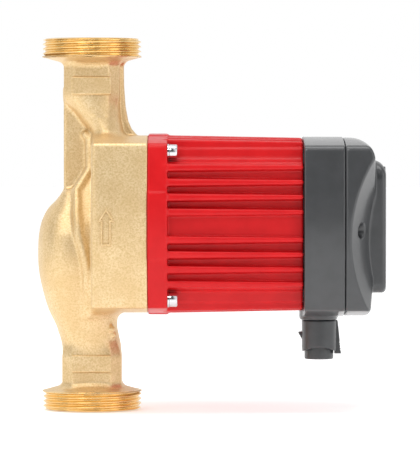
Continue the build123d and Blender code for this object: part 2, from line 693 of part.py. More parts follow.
with BuildPart() as box_cover:
    extrude(bowed_square(BOX_SEAM, BOX_SECTION), amount=COVER_FRONT - BOX_SEAM)
    fillet(box_cover.edges().filter_by(Axis.X), 2.0)
    # side outline: generous round at the top, tight one at the bottom, crowned front
    with BuildSketch(Plane.XZ.offset(-60)):
        with BuildLine():
            Polyline(
                (BOX_SEAM, AXIS_Z - COVER_HIGH - 1),
                (BOX_SEAM, AXIS_Z + COVER_HIGH + 1),
                (COVER_FRONT - TOP_ROUND - 0.6, AXIS_Z + COVER_HIGH + 1),
            )
            ThreePointArc(
                (COVER_FRONT - TOP_ROUND - 0.6, AXIS_Z + COVER_HIGH + 1),
                (COVER_FRONT - 3.6, AXIS_Z + COVER_HIGH - 3.8),
                (COVER_FRONT - 0.3, AXIS_Z + COVER_HIGH - 11),
            )
            ThreePointArc(
                (COVER_FRONT - 0.3, AXIS_Z + COVER_HIGH - 11),
                (COVER_FRONT, AXIS_Z + 5),
                (COVER_FRONT - 1.2, AXIS_Z - COVER_HIGH + 3.2),
            )
            ThreePointArc(
                (COVER_FRONT - 1.2, AXIS_Z - COVER_HIGH + 3.2),
                (COVER_FRONT - 2.0, AXIS_Z - COVER_HIGH + 1.2),
                (COVER_FRONT - 4.0, AXIS_Z - COVER_HIGH - 1),
            )
            Line((COVER_FRONT - 4.0, AXIS_Z - COVER_HIGH - 1), (BOX_SEAM, AXIS_Z - COVER_HIGH - 1))
        make_face()
    extrude(amount=120, mode=Mode.INTERSECT)
    # finger scoops on both sides, cut along sloping lines
    for side in (1, -1):
        edge_x = BOX_SEAM + SCOOP_DEPTH
        reach = 34.0
        with BuildSketch(Plane.XZ.offset(side * BOX_SECTION[2])):
            with BuildLine():
                ThreePointArc(
                    (edge_x + 7.2, AXIS_Z + SCOOP_Z + reach),
                    (edge_x, AXIS_Z + SCOOP_Z),
                    (edge_x + 7.2, AXIS_Z + SCOOP_Z - reach),
                )
                Polyline(
                    (edge_x + 7.2, AXIS_Z + SCOOP_Z - reach),
                    (edge_x + 22.0, AXIS_Z + SCOOP_Z - reach - 16),
                    (edge_x + 22.0, AXIS_Z + SCOOP_Z + reach + 16),
                    (edge_x + 7.2, AXIS_Z + SCOOP_Z + reach),
                )
            make_face()
        slope = (1, side * tan(radians(SCOOP_SLOPE)), 0)
        extrude(amount=20, dir=slope, mode=Mode.SUBTRACT)
    add(pod.part)
    # hollow inside, stepped where the control board and the panel sit
    slab(BOX_SEAM - 1, BOX_SEAM + 7.5, 58, 76, mode=Mode.SUBTRACT)
    slab(BOX_SEAM, BOARD_FRONT, 43.4, 59, mode=Mode.SUBTRACT)
    slab(BOX_SEAM, PANEL_BACK, 38, 52, mode=Mode.SUBTRACT)
    slab(PANEL_BACK, POD_FRONT + 1, 42.2, 56.2, mode=Mode.SUBTRACT)
    for place in COVER_SCREWS:
        disc(BOX_SEAM - 1, POD_FRONT, COVER_SCREW_R + 0.2, at=place, mode=Mode.SUBTRACT)
        disc(BOX_SEAM + COVER_SEAT, POD_FRONT, COVER_HEAD_R + 0.3, at=place, mode=Mode.SUBTRACT)
box_cover.part.label = "box_cover"
export_step(box_cover.part, "parts/box_cover.step")

with BuildPart() as cover_screws:
    for place in COVER_SCREWS:
        seat = BOX_SEAM + COVER_SEAT
        disc(108.0, seat, COVER_SCREW_R, at=place)
        disc(seat, seat + 2.4, COVER_HEAD_R, at=place)
        slab(seat + 1, seat + 3, 1.0, 4.6, at=place, mode=Mode.SUBTRACT)
        slab(seat + 1, seat + 3, 4.6, 1.0, at=place, mode=Mode.SUBTRACT)
cover_screws.part.label = "cover_screws"
export_step(cover_screws.part, "parts/cover_screws.step")

# ---------------------------------------------------------------- controls
WINDOW = (26.0, 15.0)
WINDOW_AT = (0.0, 12.0)
LIGHTS = [(y, -1.5) for y in (-8.0, -4.0, 0.0, 4.0, 8.0)]
with BuildPart() as control_panel:
    slab(PANEL_BACK, PANEL_FRONT, 42, 56)
    fillet(control_panel.edges().filter_by(Axis.X), 3.0)
    slab(PANEL_BACK - 1, PANEL_FRONT + 1, WINDOW[0], WINDOW[1], at=WINDOW_AT, mode=Mode.SUBTRACT)
    for place in BUTTON_AT:
        disc(PANEL_BACK - 1, PANEL_FRONT + 1, BUTTON_R + 0.3, at=place, mode=Mode.SUBTRACT)
    for place in LIGHTS:
        disc(PANEL_BACK - 1, PANEL_FRONT + 1, 0.9, at=place, mode=Mode.SUBTRACT)
control_panel.part.label = "control_panel"
export_step(control_panel.part, "parts/control_panel.step")

with BuildPart() as display_window:
    slab(PANEL_BACK, PANEL_FRONT, WINDOW[0], WINDOW[1], at=WINDOW_AT)
display_window.part.label = "display_window"
export_step(display_window.part, "parts/display_window.step")

with BuildPart() as display_module:
    slab(BOARD_FRONT, PANEL_BACK, WINDOW[0] + 4, WINDOW[1] + 4, at=WINDOW_AT)
display_module.part.label = "display_module"
export_step(display_module.part, "parts/display_module.step")

with BuildPart() as light_guides:
    for place in LIGHTS:
        disc(BOARD_FRONT, PANEL_FRONT, 0.85, at=place)
light_guides.part.label = "light_guides"
export_step(light_guides.part, "parts/light_guides.step")

with BuildPart() as panel_board:
    slab(BOARD_BACK, BOARD_FRONT, 43, 58)
panel_board.part.label = "panel_board"
export_step(panel_board.part, "parts/panel_board.step")

with BuildPart() as key_mat:
    slab(BOARD_FRONT, BOARD_FRONT + 1, 32, 12, at=(0, -13))
key_mat.part.label = "key_mat"
export_step(key_mat.part, "parts/key_mat.step")

with BuildPart() as ribbon_cable:
    slab(FACE, BOARD_BACK, 12, 0.8, at=(0, 25))
ribbon_cable.part.label = "ribbon_cable"
export_step(ribbon_cable.part, "parts/ribbon_cable.step")

with BuildPart() as mode_button:
    disc(PANEL_BACK - 0.8, PANEL_BACK - 0.05, BUTTON_R + 0.9, at=BUTTON_AT[0])
    disc(PANEL_BACK - 0.05, PANEL_FRONT + 0.6, BUTTON_R, at=BUTTON_AT[0])
    disc(BOARD_FRONT + 2, PANEL_BACK - 0.8, 1.5, at=BUTTON_AT[0])
    fillet(mode_button.edges().filter_by(GeomType.CIRCLE).group_by(Axis.X)[-1], 0.5)
mode_button.part.label = "mode_button"
export_step(mode_button.part, "parts/mode_button.step")

with BuildPart() as speed_button:
    disc(PANEL_BACK - 0.8, PANEL_BACK - 0.05, BUTTON_R + 0.9, at=BUTTON_AT[1])
    disc(PANEL_BACK - 0.05, PANEL_FRONT + 0.6, BUTTON_R, at=BUTTON_AT[1])
    disc(BOARD_FRONT + 2, PANEL_BACK - 0.8, 1.5, at=BUTTON_AT[1])
    fillet(speed_button.edges().filter_by(GeomType.CIRCLE).group_by(Axis.X)[-1], 0.5)
speed_button.part.label = "speed_button"
export_step(speed_button.part, "parts/speed_button.step")

# ---------------------------------------------------------------- plug connector
PIN_R = 0.9
HEADER_BOTTOM = 49.5
HEADER_TOP = 56.0
PINS = [(PLUG_X, y) for y in (-PIN_PITCH, 0.0, PIN_PITCH)]
with BuildPart() as plug_header:
    with Locations((PLUG_X, 0, HEADER_BOTTOM)):
        Box(9.0, 17.4, HEADER_TOP - HEADER_BOTTOM, align=BASE_DOWN)
    for place in PINS:
        upright(HEADER_BOTTOM - 1, HEADER_TOP + 1, PIN_R, at=place, mode=Mode.SUBTRACT)
plug_header.part.label = "plug_header"
export_step(plug_header.part, "parts/plug_header.step")

with BuildPart() as header_pins:
    for place in PINS:
        upright(39.0, HEADER_TOP, PIN_R, at=place)
header_pins.part.label = "header_pins"
export_step(header_pins.part, "parts/header_pins.step")

ARCH_R = 15.0
ARCH_RISE = 2.5
with BuildPart() as plug_body:
    with BuildSketch(Plane.XY.offset(PLUG_BOTTOM)):
        with Locations((PLUG_X, 0)):
            SlotOverall(PLUG_DEPTH, PLUG_WIDTH, rotation=90)
    extrude(amount=PLUG_TOP - PLUG_BOTTOM)
    # catch on the motor's side
    with BuildSketch(Plane.XZ.offset(-4)):
        with BuildLine():
            left = PLUG_X - PLUG_WIDTH / 2
            Polyline((left + 1, 38.0), (left - 1.9, 37.4), (left, 33.6), (left + 1, 33.6), close=True)
        make_face()
    extrude(amount=8)
    # arched lower edge around the gland
    with Locations((PLUG_X, 0, PLUG_BOTTOM + ARCH_RISE - ARCH_R)):
        Cylinder(ARCH_R, 60, rotation=(90, 0, 0), mode=Mode.SUBTRACT)
    upright(20, GLAND_TOP, GLAND_R, at=(PLUG_X, 0), mode=Mode.SUBTRACT)
    upright(33, 36.0, CABLE_R, at=(PLUG_X, 0), mode=Mode.SUBTRACT)
    with Locations((PLUG_X, 0, 36.0)):
        Box(5.0, 15.0, 10, align=BASE_DOWN, mode=Mode.SUBTRACT)
    # recess behind the latch
    with Locations((PLUG_X + PLUG_WIDTH / 2, 0, 20)):
        Box(2.4, 9.4, 40, align=BASE_DOWN, mode=Mode.SUBTRACT)
plug_body.part.label = "plug_body"
export_step(plug_body.part, "parts/plug_body.step")

with BuildPart() as plug_contacts:
    for place in PINS:
        upright(36.0, 43.0, 1.9, at=place)
        upright(35.0, 44.0, PIN_R + 0.25, at=place, mode=Mode.SUBTRACT)
plug_contacts.part.label = "plug_contacts"
export_step(plug_contacts.part, "parts/plug_contacts.step")

with BuildPart() as gland_nut:
    upright(GLAND_BOTTOM, GLAND_TOP, GLAND_R, at=(PLUG_X, 0))
    chamfer(gland_nut.edges().filter_by(GeomType.CIRCLE).group_by(Axis.Z)[0], 0.5)
    upright(GLAND_BOTTOM + 1.6, GLAND_TOP + 1, GLAND_SEAL_R, at=(PLUG_X, 0), mode=Mode.SUBTRACT)
    upright(20, GLAND_TOP + 1, CABLE_R, at=(PLUG_X, 0), mode=Mode.SUBTRACT)
gland_nut.part.label = "gland_nut"
export_step(gland_nut.part, "parts/gland_nut.step")

with BuildPart() as gland_seal:
    upright(GLAND_BOTTOM + 1.6, GLAND_TOP, GLAND_SEAL_R, at=(PLUG_X, 0))
    upright(20, GLAND_TOP + 1, CABLE_R, at=(PLUG_X, 0), mode=Mode.SUBTRACT)
gland_seal.part.label = "gland_seal"
export_step(gland_seal.part, "parts/gland_seal.step")

with BuildPart() as plug_latch:
    with BuildSketch(Plane.XZ.offset(-4.4)):
        with BuildLine():
            back = PLUG_X + PLUG_WIDTH / 2 - 0.9
            Polyline(
                (back, 43.2),
                (back + 1.6, 43.2),
                (back + 1.9, 40.0),
                (back + 3.3, 27.0),
                (back, 27.0),
                close=True,
            )
        make_face()
    extrude(amount=8.8)
    fillet(plug_latch.edges().filter_by(Axis.Y), 0.35)
plug_latch.part.label = "plug_latch"
export_step(plug_latch.part, "parts/plug_latch.step")
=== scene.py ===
"""Looks of an inline circulator pump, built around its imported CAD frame.

Castings and mouldings are written as distance fields in millimetres and turned into
smooth meshes, so their ribs, fillets and worn edges are real geometry. Turned and
threaded parts are swept from their profiles. Every material is procedural.
"""
import json
import math

import bpy
import numpy as np
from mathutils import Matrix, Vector


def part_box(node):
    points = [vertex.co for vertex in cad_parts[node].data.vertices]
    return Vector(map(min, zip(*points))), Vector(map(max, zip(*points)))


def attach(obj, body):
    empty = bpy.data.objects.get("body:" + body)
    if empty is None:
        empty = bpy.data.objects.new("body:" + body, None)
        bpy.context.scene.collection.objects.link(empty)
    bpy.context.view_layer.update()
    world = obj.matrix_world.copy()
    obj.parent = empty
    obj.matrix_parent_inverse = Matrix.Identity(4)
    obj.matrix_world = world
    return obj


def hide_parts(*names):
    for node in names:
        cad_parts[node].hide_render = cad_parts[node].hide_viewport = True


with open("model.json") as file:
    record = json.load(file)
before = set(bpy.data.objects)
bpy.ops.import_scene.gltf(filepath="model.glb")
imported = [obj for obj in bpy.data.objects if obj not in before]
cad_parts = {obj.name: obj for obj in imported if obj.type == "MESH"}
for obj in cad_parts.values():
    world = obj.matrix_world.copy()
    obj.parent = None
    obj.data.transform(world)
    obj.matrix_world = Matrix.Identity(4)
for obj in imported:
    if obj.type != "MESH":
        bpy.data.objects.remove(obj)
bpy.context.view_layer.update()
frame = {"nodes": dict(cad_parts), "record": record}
MM = 0.001


def span(node):
    """Lowest and highest corner of a CAD node, in millimetres."""
    low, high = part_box(node)
    return np.array(low) / MM, np.array(high) / MM


# stations read from the CAD frame
MOTOR_LOW, MOTOR_HIGH = span("motor_housing")
SEAM = span("box_base")[1][0]
COVER_FRONT = span("box_cover")[1][0]
SHAFT_LOW, SHAFT_HIGH = span("shaft")
AXIS_Z = (SHAFT_LOW[2] + SHAFT_HIGH[2]) / 2
TOP = span("pump_housing")[1][2]


# ---------------------------------------------------------------- distance fields
def join(a, b, r):
    """Union with a fillet of radius r between the two."""
    return np.maximum(r, np.minimum(a, b)) - np.hypot(np.maximum(r - a, 0), np.maximum(r - b, 0))


def meet(a, b, r):
    """Intersection whose edge is rounded with radius r."""
    return -join(-a, -b, r)


def cut(a, b, r):
    """a without b, with the cut's edge rounded with radius r."""
    return -join(-a, b, r)


def slab(value, low, high):
    """Distance to the space between two parallel planes."""
    return np.maximum(low - value, value - high)


def bowed(y, z, side, top, crown, r):
    """Square in Y and Z whose four sides bow out to the crown, with corners of radius r."""
    def arc(across, along, corner_across, corner_along):
        rise = crown - corner_across
        radius = (corner_along ** 2 + rise ** 2) / (2 * rise)
        centre = crown - radius
        return np.hypot(np.abs(across) - centre, along) - radius

    return meet(arc(y, z, side, top), arc(z, y, top, side), r)


def curve_through(places, values):
    """Smooth curve through points, as a function of place."""
    places = np.array(places, float)
    values = np.array(values, float)
    slopes = np.gradient(values, places)

    def at(x):
        x = np.clip(x, places[0], places[-1])
        i = np.clip(np.searchsorted(places, x) - 1, 0, len(places) - 2)
        width = places[i + 1] - places[i]
        t = (x - places[i]) / width
        start, end = values[i], values[i + 1]
        rise = (2 * t ** 3 - 3 * t ** 2 + 1) * start + (3 * t ** 2 - 2 * t ** 3) * end
        rise += (t ** 3 - 2 * t ** 2 + t) * width * slopes[i]
        return rise + (t ** 3 - t ** 2) * width * slopes[i + 1]

    return at


def duct(sections, fullness=2.0):
    """Field of a duct through ovals, each a height, left X, right X and half width in Y."""
    heights, lefts, rights, widths = zip(*sections)
    left, right, width = (curve_through(heights, v) for v in (lefts, rights, widths))

    def field(x, y, z):
        centre = (left(z) + right(z)) / 2
        half = np.maximum((right(z) - left(z)) / 2, 0.5)
        wide = np.maximum(width(z), 0.5)
        spread = np.abs((x - centre) / half) ** fullness + np.abs(y / wide) ** fullness
        ring = (spread ** (1 / fullness) - 1) * np.minimum(half, wide)
        return meet(ring * 0.9, slab(z, heights[0], heights[-1]), 1.0)

    return field


# ---------------------------------------------------------------- meshing
def surface_net(field, low, high, step):
    """Vertices and quads of the surface field(x, y, z) = 0 inside a box."""
    low, high, step = (np.array(v, float) * np.ones(3) for v in (low, high, step))
    axes = [np.arange(low[d] - step[d], high[d] + 2 * step[d], step[d]) for d in range(3)]
    shape = tuple(len(axis) for axis in axes)
    value = np.broadcast_to(field(*np.meshgrid(*axes, indexing="ij", sparse=True)), shape)
    inside = value < 0
    cells = [n - 1 for n in value.shape]
    total = np.zeros((*cells, 3))
    count = np.zeros(cells, int)
    crossings = []
    for d in range(3):
        others = [e for e in range(3) if e != d]
        a = np.take(value, range(cells[d]), axis=d)
        b = np.take(value, range(1, cells[d] + 1), axis=d)
        crossing = (a < 0) != (b < 0)
        crossings.append((crossing, a < 0))
        with np.errstate(divide="ignore", invalid="ignore"):
            t = np.where(crossing, a / (a - b), 0.0)
        for shift_0 in (0, 1):
            for shift_1 in (0, 1):
                window = [slice(None)] * 3
                window[others[0]] = slice(shift_0, cells[others[0]] + shift_0)
                window[others[1]] = slice(shift_1, cells[others[1]] + shift_1)
                hit = crossing[tuple(window)]
                count += hit
                total[..., d] += np.where(hit, t[tuple(window)], 0)
                total[..., others[0]] += hit * shift_0
                total[..., others[1]] += hit * shift_1
    active = count > 0
    index = np.full(cells, -1)
    index[active] = np.arange(active.sum())
    corner = np.stack(np.nonzero(active), axis=1)
    points = low - step + (corner + total[active] / count[active][:, None]) * step
    quads = []
    for d in range(3):
        crossing, starts_inside = crossings[d]
        u, v = (d + 1) % 3, (d + 2) % 3
        place = np.stack(np.nonzero(crossing), axis=1)
        keep = (place[:, u] > 0) & (place[:, v] > 0)
        keep &= (place[:, u] < cells[u]) & (place[:, v] < cells[v])
        place = place[keep]
        flipped = ~starts_inside[tuple(place.T)]
        ring = []
        for du, dv in ((1, 1), (0, 1), (0, 0), (1, 0)):
            cell = place.copy()
            cell[:, u] -= du
            cell[:, v] -= dv
            ring.append(index[tuple(cell.T)])
        ring = np.stack(ring, axis=1)
        ring[flipped] = ring[flipped][:, ::-1]
        quads.append(ring)
    points = settle(field, points, step)
    return points, np.concatenate(quads)


def settle(field, points, step, rounds=4):
    """Moves points onto the surface along the field's slope."""
    reach = step.max() * 0.5
    d = 0.02
    for _ in range(rounds):
        x, y, z = points.T
        value = field(x, y, z)
        slope = np.stack([
            field(x + d, y, z) - field(x - d, y, z),
            field(x, y + d, z) - field(x, y - d, z),
            field(x, y, z + d) - field(x, y, z - d),
        ], axis=1) / (2 * d)
        size = np.maximum((slope ** 2).sum(1), 0.05)
        move = -(value / size)[:, None] * slope
        length = np.linalg.norm(move, axis=1, keepdims=True)
        points = points + move * np.minimum(1, reach / np.maximum(length, 1e-9))
    return points


def mesh_piece(name, points, faces, body, material):
    """Object of vertices in millimetres that rides on a CAD body."""
    mesh = bpy.data.meshes.new(name)
    mesh.from_pydata((points * MM).tolist(), [], [tuple(face) for face in faces])
    mesh.validate()
    mesh.polygons.foreach_set("use_smooth", [True] * len(mesh.polygons))
    piece = bpy.data.objects.new(name, mesh)
    bpy.context.scene.collection.objects.link(piece)
    mesh.materials.append(material)
    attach(piece, body)
    return piece


def smooth_by_angle(piece, degrees):
    """Marks edges sharper than an angle, so that flat faces stay flat in shading."""
    piece.data.set_sharp_from_angle(angle=math.radians(degrees))


def skin(loops, ring=False):
    """Points and faces through loops of points, closed by joining last to first or by two caps."""
    n = len(loops[0])
    points = np.concatenate(loops)
    following = [*range(1, len(loops)), 0] if ring else range(1, len(loops))
    faces = []
    for a, b in enumerate(following):
        for i in range(n):
            j = (i + 1) % n
            faces.append((a * n + i, a * n + j, b * n + j, b * n + i))
    if not ring:
        faces.append(tuple(range(n))[::-1])
        faces.append(tuple(range(len(points) - n, len(points))))
    return points, faces


def several(name, solids, body, material, sharp=35):
    """One object of several solids, each given as points and faces."""
    points, faces = [], []
    for some_points, some_faces in solids:
        start = sum(len(p) for p in points)
        points.append(some_points)
        faces += [tuple(start + i for i in face) for face in some_faces]
    piece = mesh_piece(name, np.concatenate(points), faces, body, material)
    smooth_by_angle(piece, sharp)
    return piece


# ---------------------------------------------------------------- pump housing
SUCTION = (
    (20.0, -14.2, 14.2, 14.2),
    (30.0, -14.3, 13.6, 14.4),
    (40.0, -17.1, 12.2, 16.5),
    (48.4, -21.0, 12.3, 19.5),
    (58.0, -23.9, 10.0, 22.5),
    (67.7, -25.8, 8.0, 25.0),
    (77.4, -26.2, 7.0, 25.6),
    (86.0, -25.6, 5.5, 24.4),
    (92.8, -23.9, 3.5, 21.5),
    (99.1, -20.0, 0.0, 17.0),
    (104.0, -14.0, -4.5, 10.0),
)
SUCTION_WATER = (
    (18.0, -11.0, 11.0, 11.0),
    (40.0, -12.5, 8.5, 12.5),
    (58.0, -19.0, 1.0, 17.5),
    (77.0, -21.0, -1.5, 18.5),
    (90.0, -18.0, -5.0, 11.0),
    (96.0, -13.0, -8.0, 3.0),
)
DISCHARGE = (
    (118.0, 1.5, 18.5, 25.0),
    (128.0, 1.0, 17.2, 21.0),
    (134.0, -0.8, 15.6, 18.0),
    (141.0, -5.8, 14.2, 15.6),
    (147.0, -9.8, 13.6, 14.6),
    (152.0, -12.5, 13.4, 13.8),
    (160.0, -13.4, 13.4, 13.4),
)
DISCHARGE_WATER = (
    (112.0, 10.0, 22.0, 20.0),
    (128.0, 5.0, 13.5, 17.0),
    (141.0, -2.5, 11.4, 12.5),
    (154.0, -10.6, 11.0, 11.0),
    (162.0, -11.0, 11.0, 11.0),
)
# each neck: half width, half width of its flat face, Z where it starts, fades and ends
NECKS = ((14.3, 9.4, 3.0, 25.0, 38.0), (13.4, 8.35, 177.0, 154.0, 143.0))
PAD_HALF = 9.8
PAD_ROOT = 0.6
PAD_RAISED = 1.15
PAD_HEIGHTS = ((18.4, 26.9), (152.4, 161.4))
PORT_R = 12.5
COLLAR_HEIGHT = 9.4
THREAD_R = 23.9
COLLAR_CORE_R = 22.2
THREAD_PITCH = 2.309
THREAD_DEPTH = 1.35
THREAD_START_R = 22.75
THREAD_PHASE = 0.3
THREAD_SEGMENTS = 256


def ball(x, y, z, at, radius):
    """Distance to a sphere."""
    return np.sqrt((x - at[0]) ** 2 + (y - at[1]) ** 2 + (z - at[2]) ** 2) - radius


def brick(x, y, z, low, high, r):
    """Distance to a block with rounded edges."""
    return meet(meet(slab(x, low[0], high[0]), slab(y, low[1], high[1]), r), slab(z, low[2], high[2]), r)


def polygon(u, v, corners):
    """Distance to a closed outline in a plane, negative inside."""
    corners = np.array(corners, float)
    shape = np.broadcast(u, v).shape
    nearest = np.full(shape, 1e9)
    inside = np.zeros(shape, bool)
    for (au, av), (bu, bv) in zip(corners, np.roll(corners, -1, axis=0)):
        du, dv = bu - au, bv - av
        t = np.clip(((u - au) * du + (v - av) * dv) / (du * du + dv * dv), 0, 1)
        nearest = np.minimum(nearest, np.hypot(u - au - t * du, v - av - t * dv))
        crosses = ((av > v) != (bv > v)) & (u < (bu - au) * (v - av) / (bv - av + 1e-12) + au)
        inside ^= crosses
    return np.where(inside, -nearest, nearest)


# outlines as X and Z: the flow arrow, and the rib beside the discharge
ARROW = ((5.9, 81), (9.8, 81), (9.8, 92.4), (11.4, 92.5), (8.1, 97.7), (4.5, 92.2), (5.9, 92.4))
RIB = (
    (8, 171), (15.4, 171), (15.6, 157), (16.3, 147), (17.6, 140.0),
    (19.2, 136.2), (21.6, 133.4), (24, 128), (8, 128),
)
# edge of the swirl chamber on the drum's back, as X and Z, then its half width at each Z
RIDGE = (
    (-3.2, 133.5), (-1.5, 130.8), (-1.2, 117.0), (-7.2, 107.0), (-6.8, 96.0),
    (-5.6, 86.0), (-3.2, 77.0), (-1.6, 68.0), (-1.1, 47.0),
)
RIDGE_HEIGHT = (
    (47.0, 19.0), (58.0, 24.5), (70.0, 27.0), (80.0, 27.2), (95.0, 24.5),
    (107.0, 18.0), (117.0, 14.0), (130.0, 10.5), (134.0, 9.0),
)


def along(x, z, path):
    """Distance to a bent line in the X-Z plane."""
    nearest = np.full(np.broadcast(x, z).shape, 1e9)
    for (ax, az), (bx, bz) in zip(path, path[1:]):
        dx, dz = bx - ax, bz - az
        t = np.clip(((x - ax) * dx + (z - az) * dz) / (dx * dx + dz * dz), 0, 1)
        nearest = np.minimum(nearest, np.hypot(x - ax - t * dx, z - az - t * dz))
    return nearest


def drum_side(y, up, x):
    """Bowed outline of the drum, which swells softly behind the arrow."""
    swell = 0.45 * np.exp(-((x - 8.2) / 5.6) ** 4 - ((up - 1) / 17) ** 4)
    return bowed(y, up, 40.0, 39.2, 42.95, 1.2) - swell * (np.abs(y) > 30)


def housing(x, y, z):
    """Cast body of the pump with its waterways."""
    up = z - AXIS_Z
    side = np.abs(y)
    drum = drum_side(y, up, x)
    drum = meet(drum, 0.8 - x, 2.0)
    drum = meet(drum, x - 27.5, 0.5)
    # swirl chamber behind the drum: a plate with a raised edge
    heights, levels = zip(*RIDGE_HEIGHT)
    level = curve_through(heights, levels)(z)
    plate = meet(polygon(x, z, (*RIDGE, (4.0, 47.0), (4.0, 133.5))), (side - level + 1.2) * 0.9, 1.2)
    body = join(drum, plate, 1.0)
    body = join(body, brick(x, y, z, (-15, -17, 46), (3, 17, 107), 5.0), 2.0)
    ridge = meet(along(x, z, RIDGE) - 1.4, (side - level) * 0.9, 1.2)
    body = join(body, duct(SUCTION, 2.4)(x, y, z), 4.0)
    body = join(body, ridge, 2.2)
    body = join(body, duct(DISCHARGE)(x, y, z), 2.8)
    # necks: squares with broad chamfers that turn into the round ducts
    for (half, face, start, fade, end), sections in zip(NECKS, (SUCTION, DISCHARGE)):
        square = np.maximum(np.abs(x), side) - half
        chamfer = (np.abs(x) + side - half - face) * math.sqrt(0.5)
        t = np.clip((z - fade) / (end - fade), 0, 1)
        t = t * t * (3 - 2 * t)
        neck = meet(square, chamfer, 0.35) * (1 - t) + duct(sections)(x, y, np.clip(z, 31, 152)) * t
        neck = np.maximum(neck, slab(z, min(start, end), max(start, end)))
        body = join(body, neck, 0.6)
    # web between the two ducts, rib beside the discharge
    web = meet(meet(slab(x, -13.7, 4.0), side - 2.6, 1.2), slab(z, 96.0, 156.0), 1.0)
    body = join(body, web, 1.8)
    rib = meet(polygon(x, z, RIB), side - 3.2, 1.2)
    body = join(body, rib, 0.8)
    # gate stub left from casting
    gate = np.minimum(ball(x, y, z, (10.0, -11.8, 39.4), 1.4), ball(x, y, z, (10.8, -10.8, 36.6), 1.3))
    body = join(body, gate, 1.6)
    # collars that carry the threads
    radius = np.hypot(x, y)
    for height in (z, TOP - z):
        collar = meet(radius - COLLAR_CORE_R, slab(height, 0.7, COLLAR_HEIGHT - 0.2), 0.4)
        flare = meet((radius - 23.3 + (height - 9.3) * 3.6) / 3.74, slab(height, 8.6, 13.0), 0.3)
        body = join(body, join(collar, flare, 0.2), 2.6)
    # waterways
    water = np.maximum(radius - (PORT_R + 0.4), -slab(z, 11.0, TOP - 11.0))
    water = np.minimum(water, np.maximum(radius - 10.8, -slab(z, 22.0, TOP - 22.0)))
    water = np.minimum(water, duct(SUCTION_WATER)(x, y, z))
    water = np.minimum(water, duct(DISCHARGE_WATER)(x, y, z))
    shaft_r = np.hypot(y, up)
    water = np.minimum(water, np.maximum(shaft_r - 33, slab(x, 7.2, 30)))
    water = np.minimum(water, np.maximum(shaft_r - 12, slab(x, -12, 9)))
    return np.maximum(body, -water)


def wrench_pad(half, low, high, facing):
    """Points and faces of a pad that stands proud of a neck's flat face."""
    near, far = sorted((facing * (half - PAD_ROOT), facing * (half + PAD_RAISED)))
    corner, opposite = (-PAD_HALF, near, low), (PAD_HALF, far, high)
    return surface_net(lambda x, y, z: brick(x, y, z, corner, opposite, 0.8), corner, opposite, 0.3)


def arrow(x, y, z):
    """Outlined flow arrow cast on the side of the drum."""
    line = np.abs(polygon(x, z, ARROW)) - 0.48
    level = drum_side(y, z - AXIS_Z, x)
    return meet(line, np.maximum(level - 1.0, -level - 1.5), 0.36)


def collar_piece(name, base, inward, body, material):
    """Threaded union collar. base is its sealing face, inward is 1 at the inlet, -1 at the outlet."""
    heights = np.arange(0.6, COLLAR_HEIGHT - 0.25, 0.105)
    heights = [*heights, COLLAR_HEIGHT - 0.15, COLLAR_HEIGHT]
    loops = []
    for turn in np.linspace(0, 2 * math.pi, THREAD_SEGMENTS, endpoint=False):
        out = np.array([math.cos(turn), math.sin(turn)])
        ring = [(PORT_R, COLLAR_HEIGHT), (PORT_R, 0.7), (PORT_R + 0.7, 0.0), (21.7, 0.0), (22.35, 0.1)]
        ring.append((THREAD_START_R, 0.35))
        for height in heights:
            place = base + inward * height
            phase = (place / THREAD_PITCH - turn / (2 * math.pi) + THREAD_PHASE) % 1.0
            flank = np.clip((abs(phase - 0.5) * 2 - 0.14) / 0.72, 0, 1)
            flank = flank * flank * (3 - 2 * flank) * 0.35 + flank * 0.65
            r = THREAD_R - THREAD_DEPTH * flank
            ring.append((min(r, THREAD_START_R + height * 1.5), height))
        ring.append((COLLAR_CORE_R, COLLAR_HEIGHT + 0.05))
        loops.append([(r * out[0], r * out[1], base + inward * height) for r, height in ring])
    if inward > 0:
        loops = loops[::-1]
    points, faces = skin(loops, ring=True)
    piece = mesh_piece(name, points, faces, body, material)
    smooth_by_angle(piece, 50)


# ---------------------------------------------------------------- motor housing
FLANGE_FRONT = 37.0
BODY_END = MOTOR_HIGH[0]
FINS = (6.6, 13.7, 20.8, 27.9)
NOTCH = 31.3
NOTCH_RUN = 52 - NOTCH
NOTCH_FLARE = 4.2
SCREW_AT = 35.2


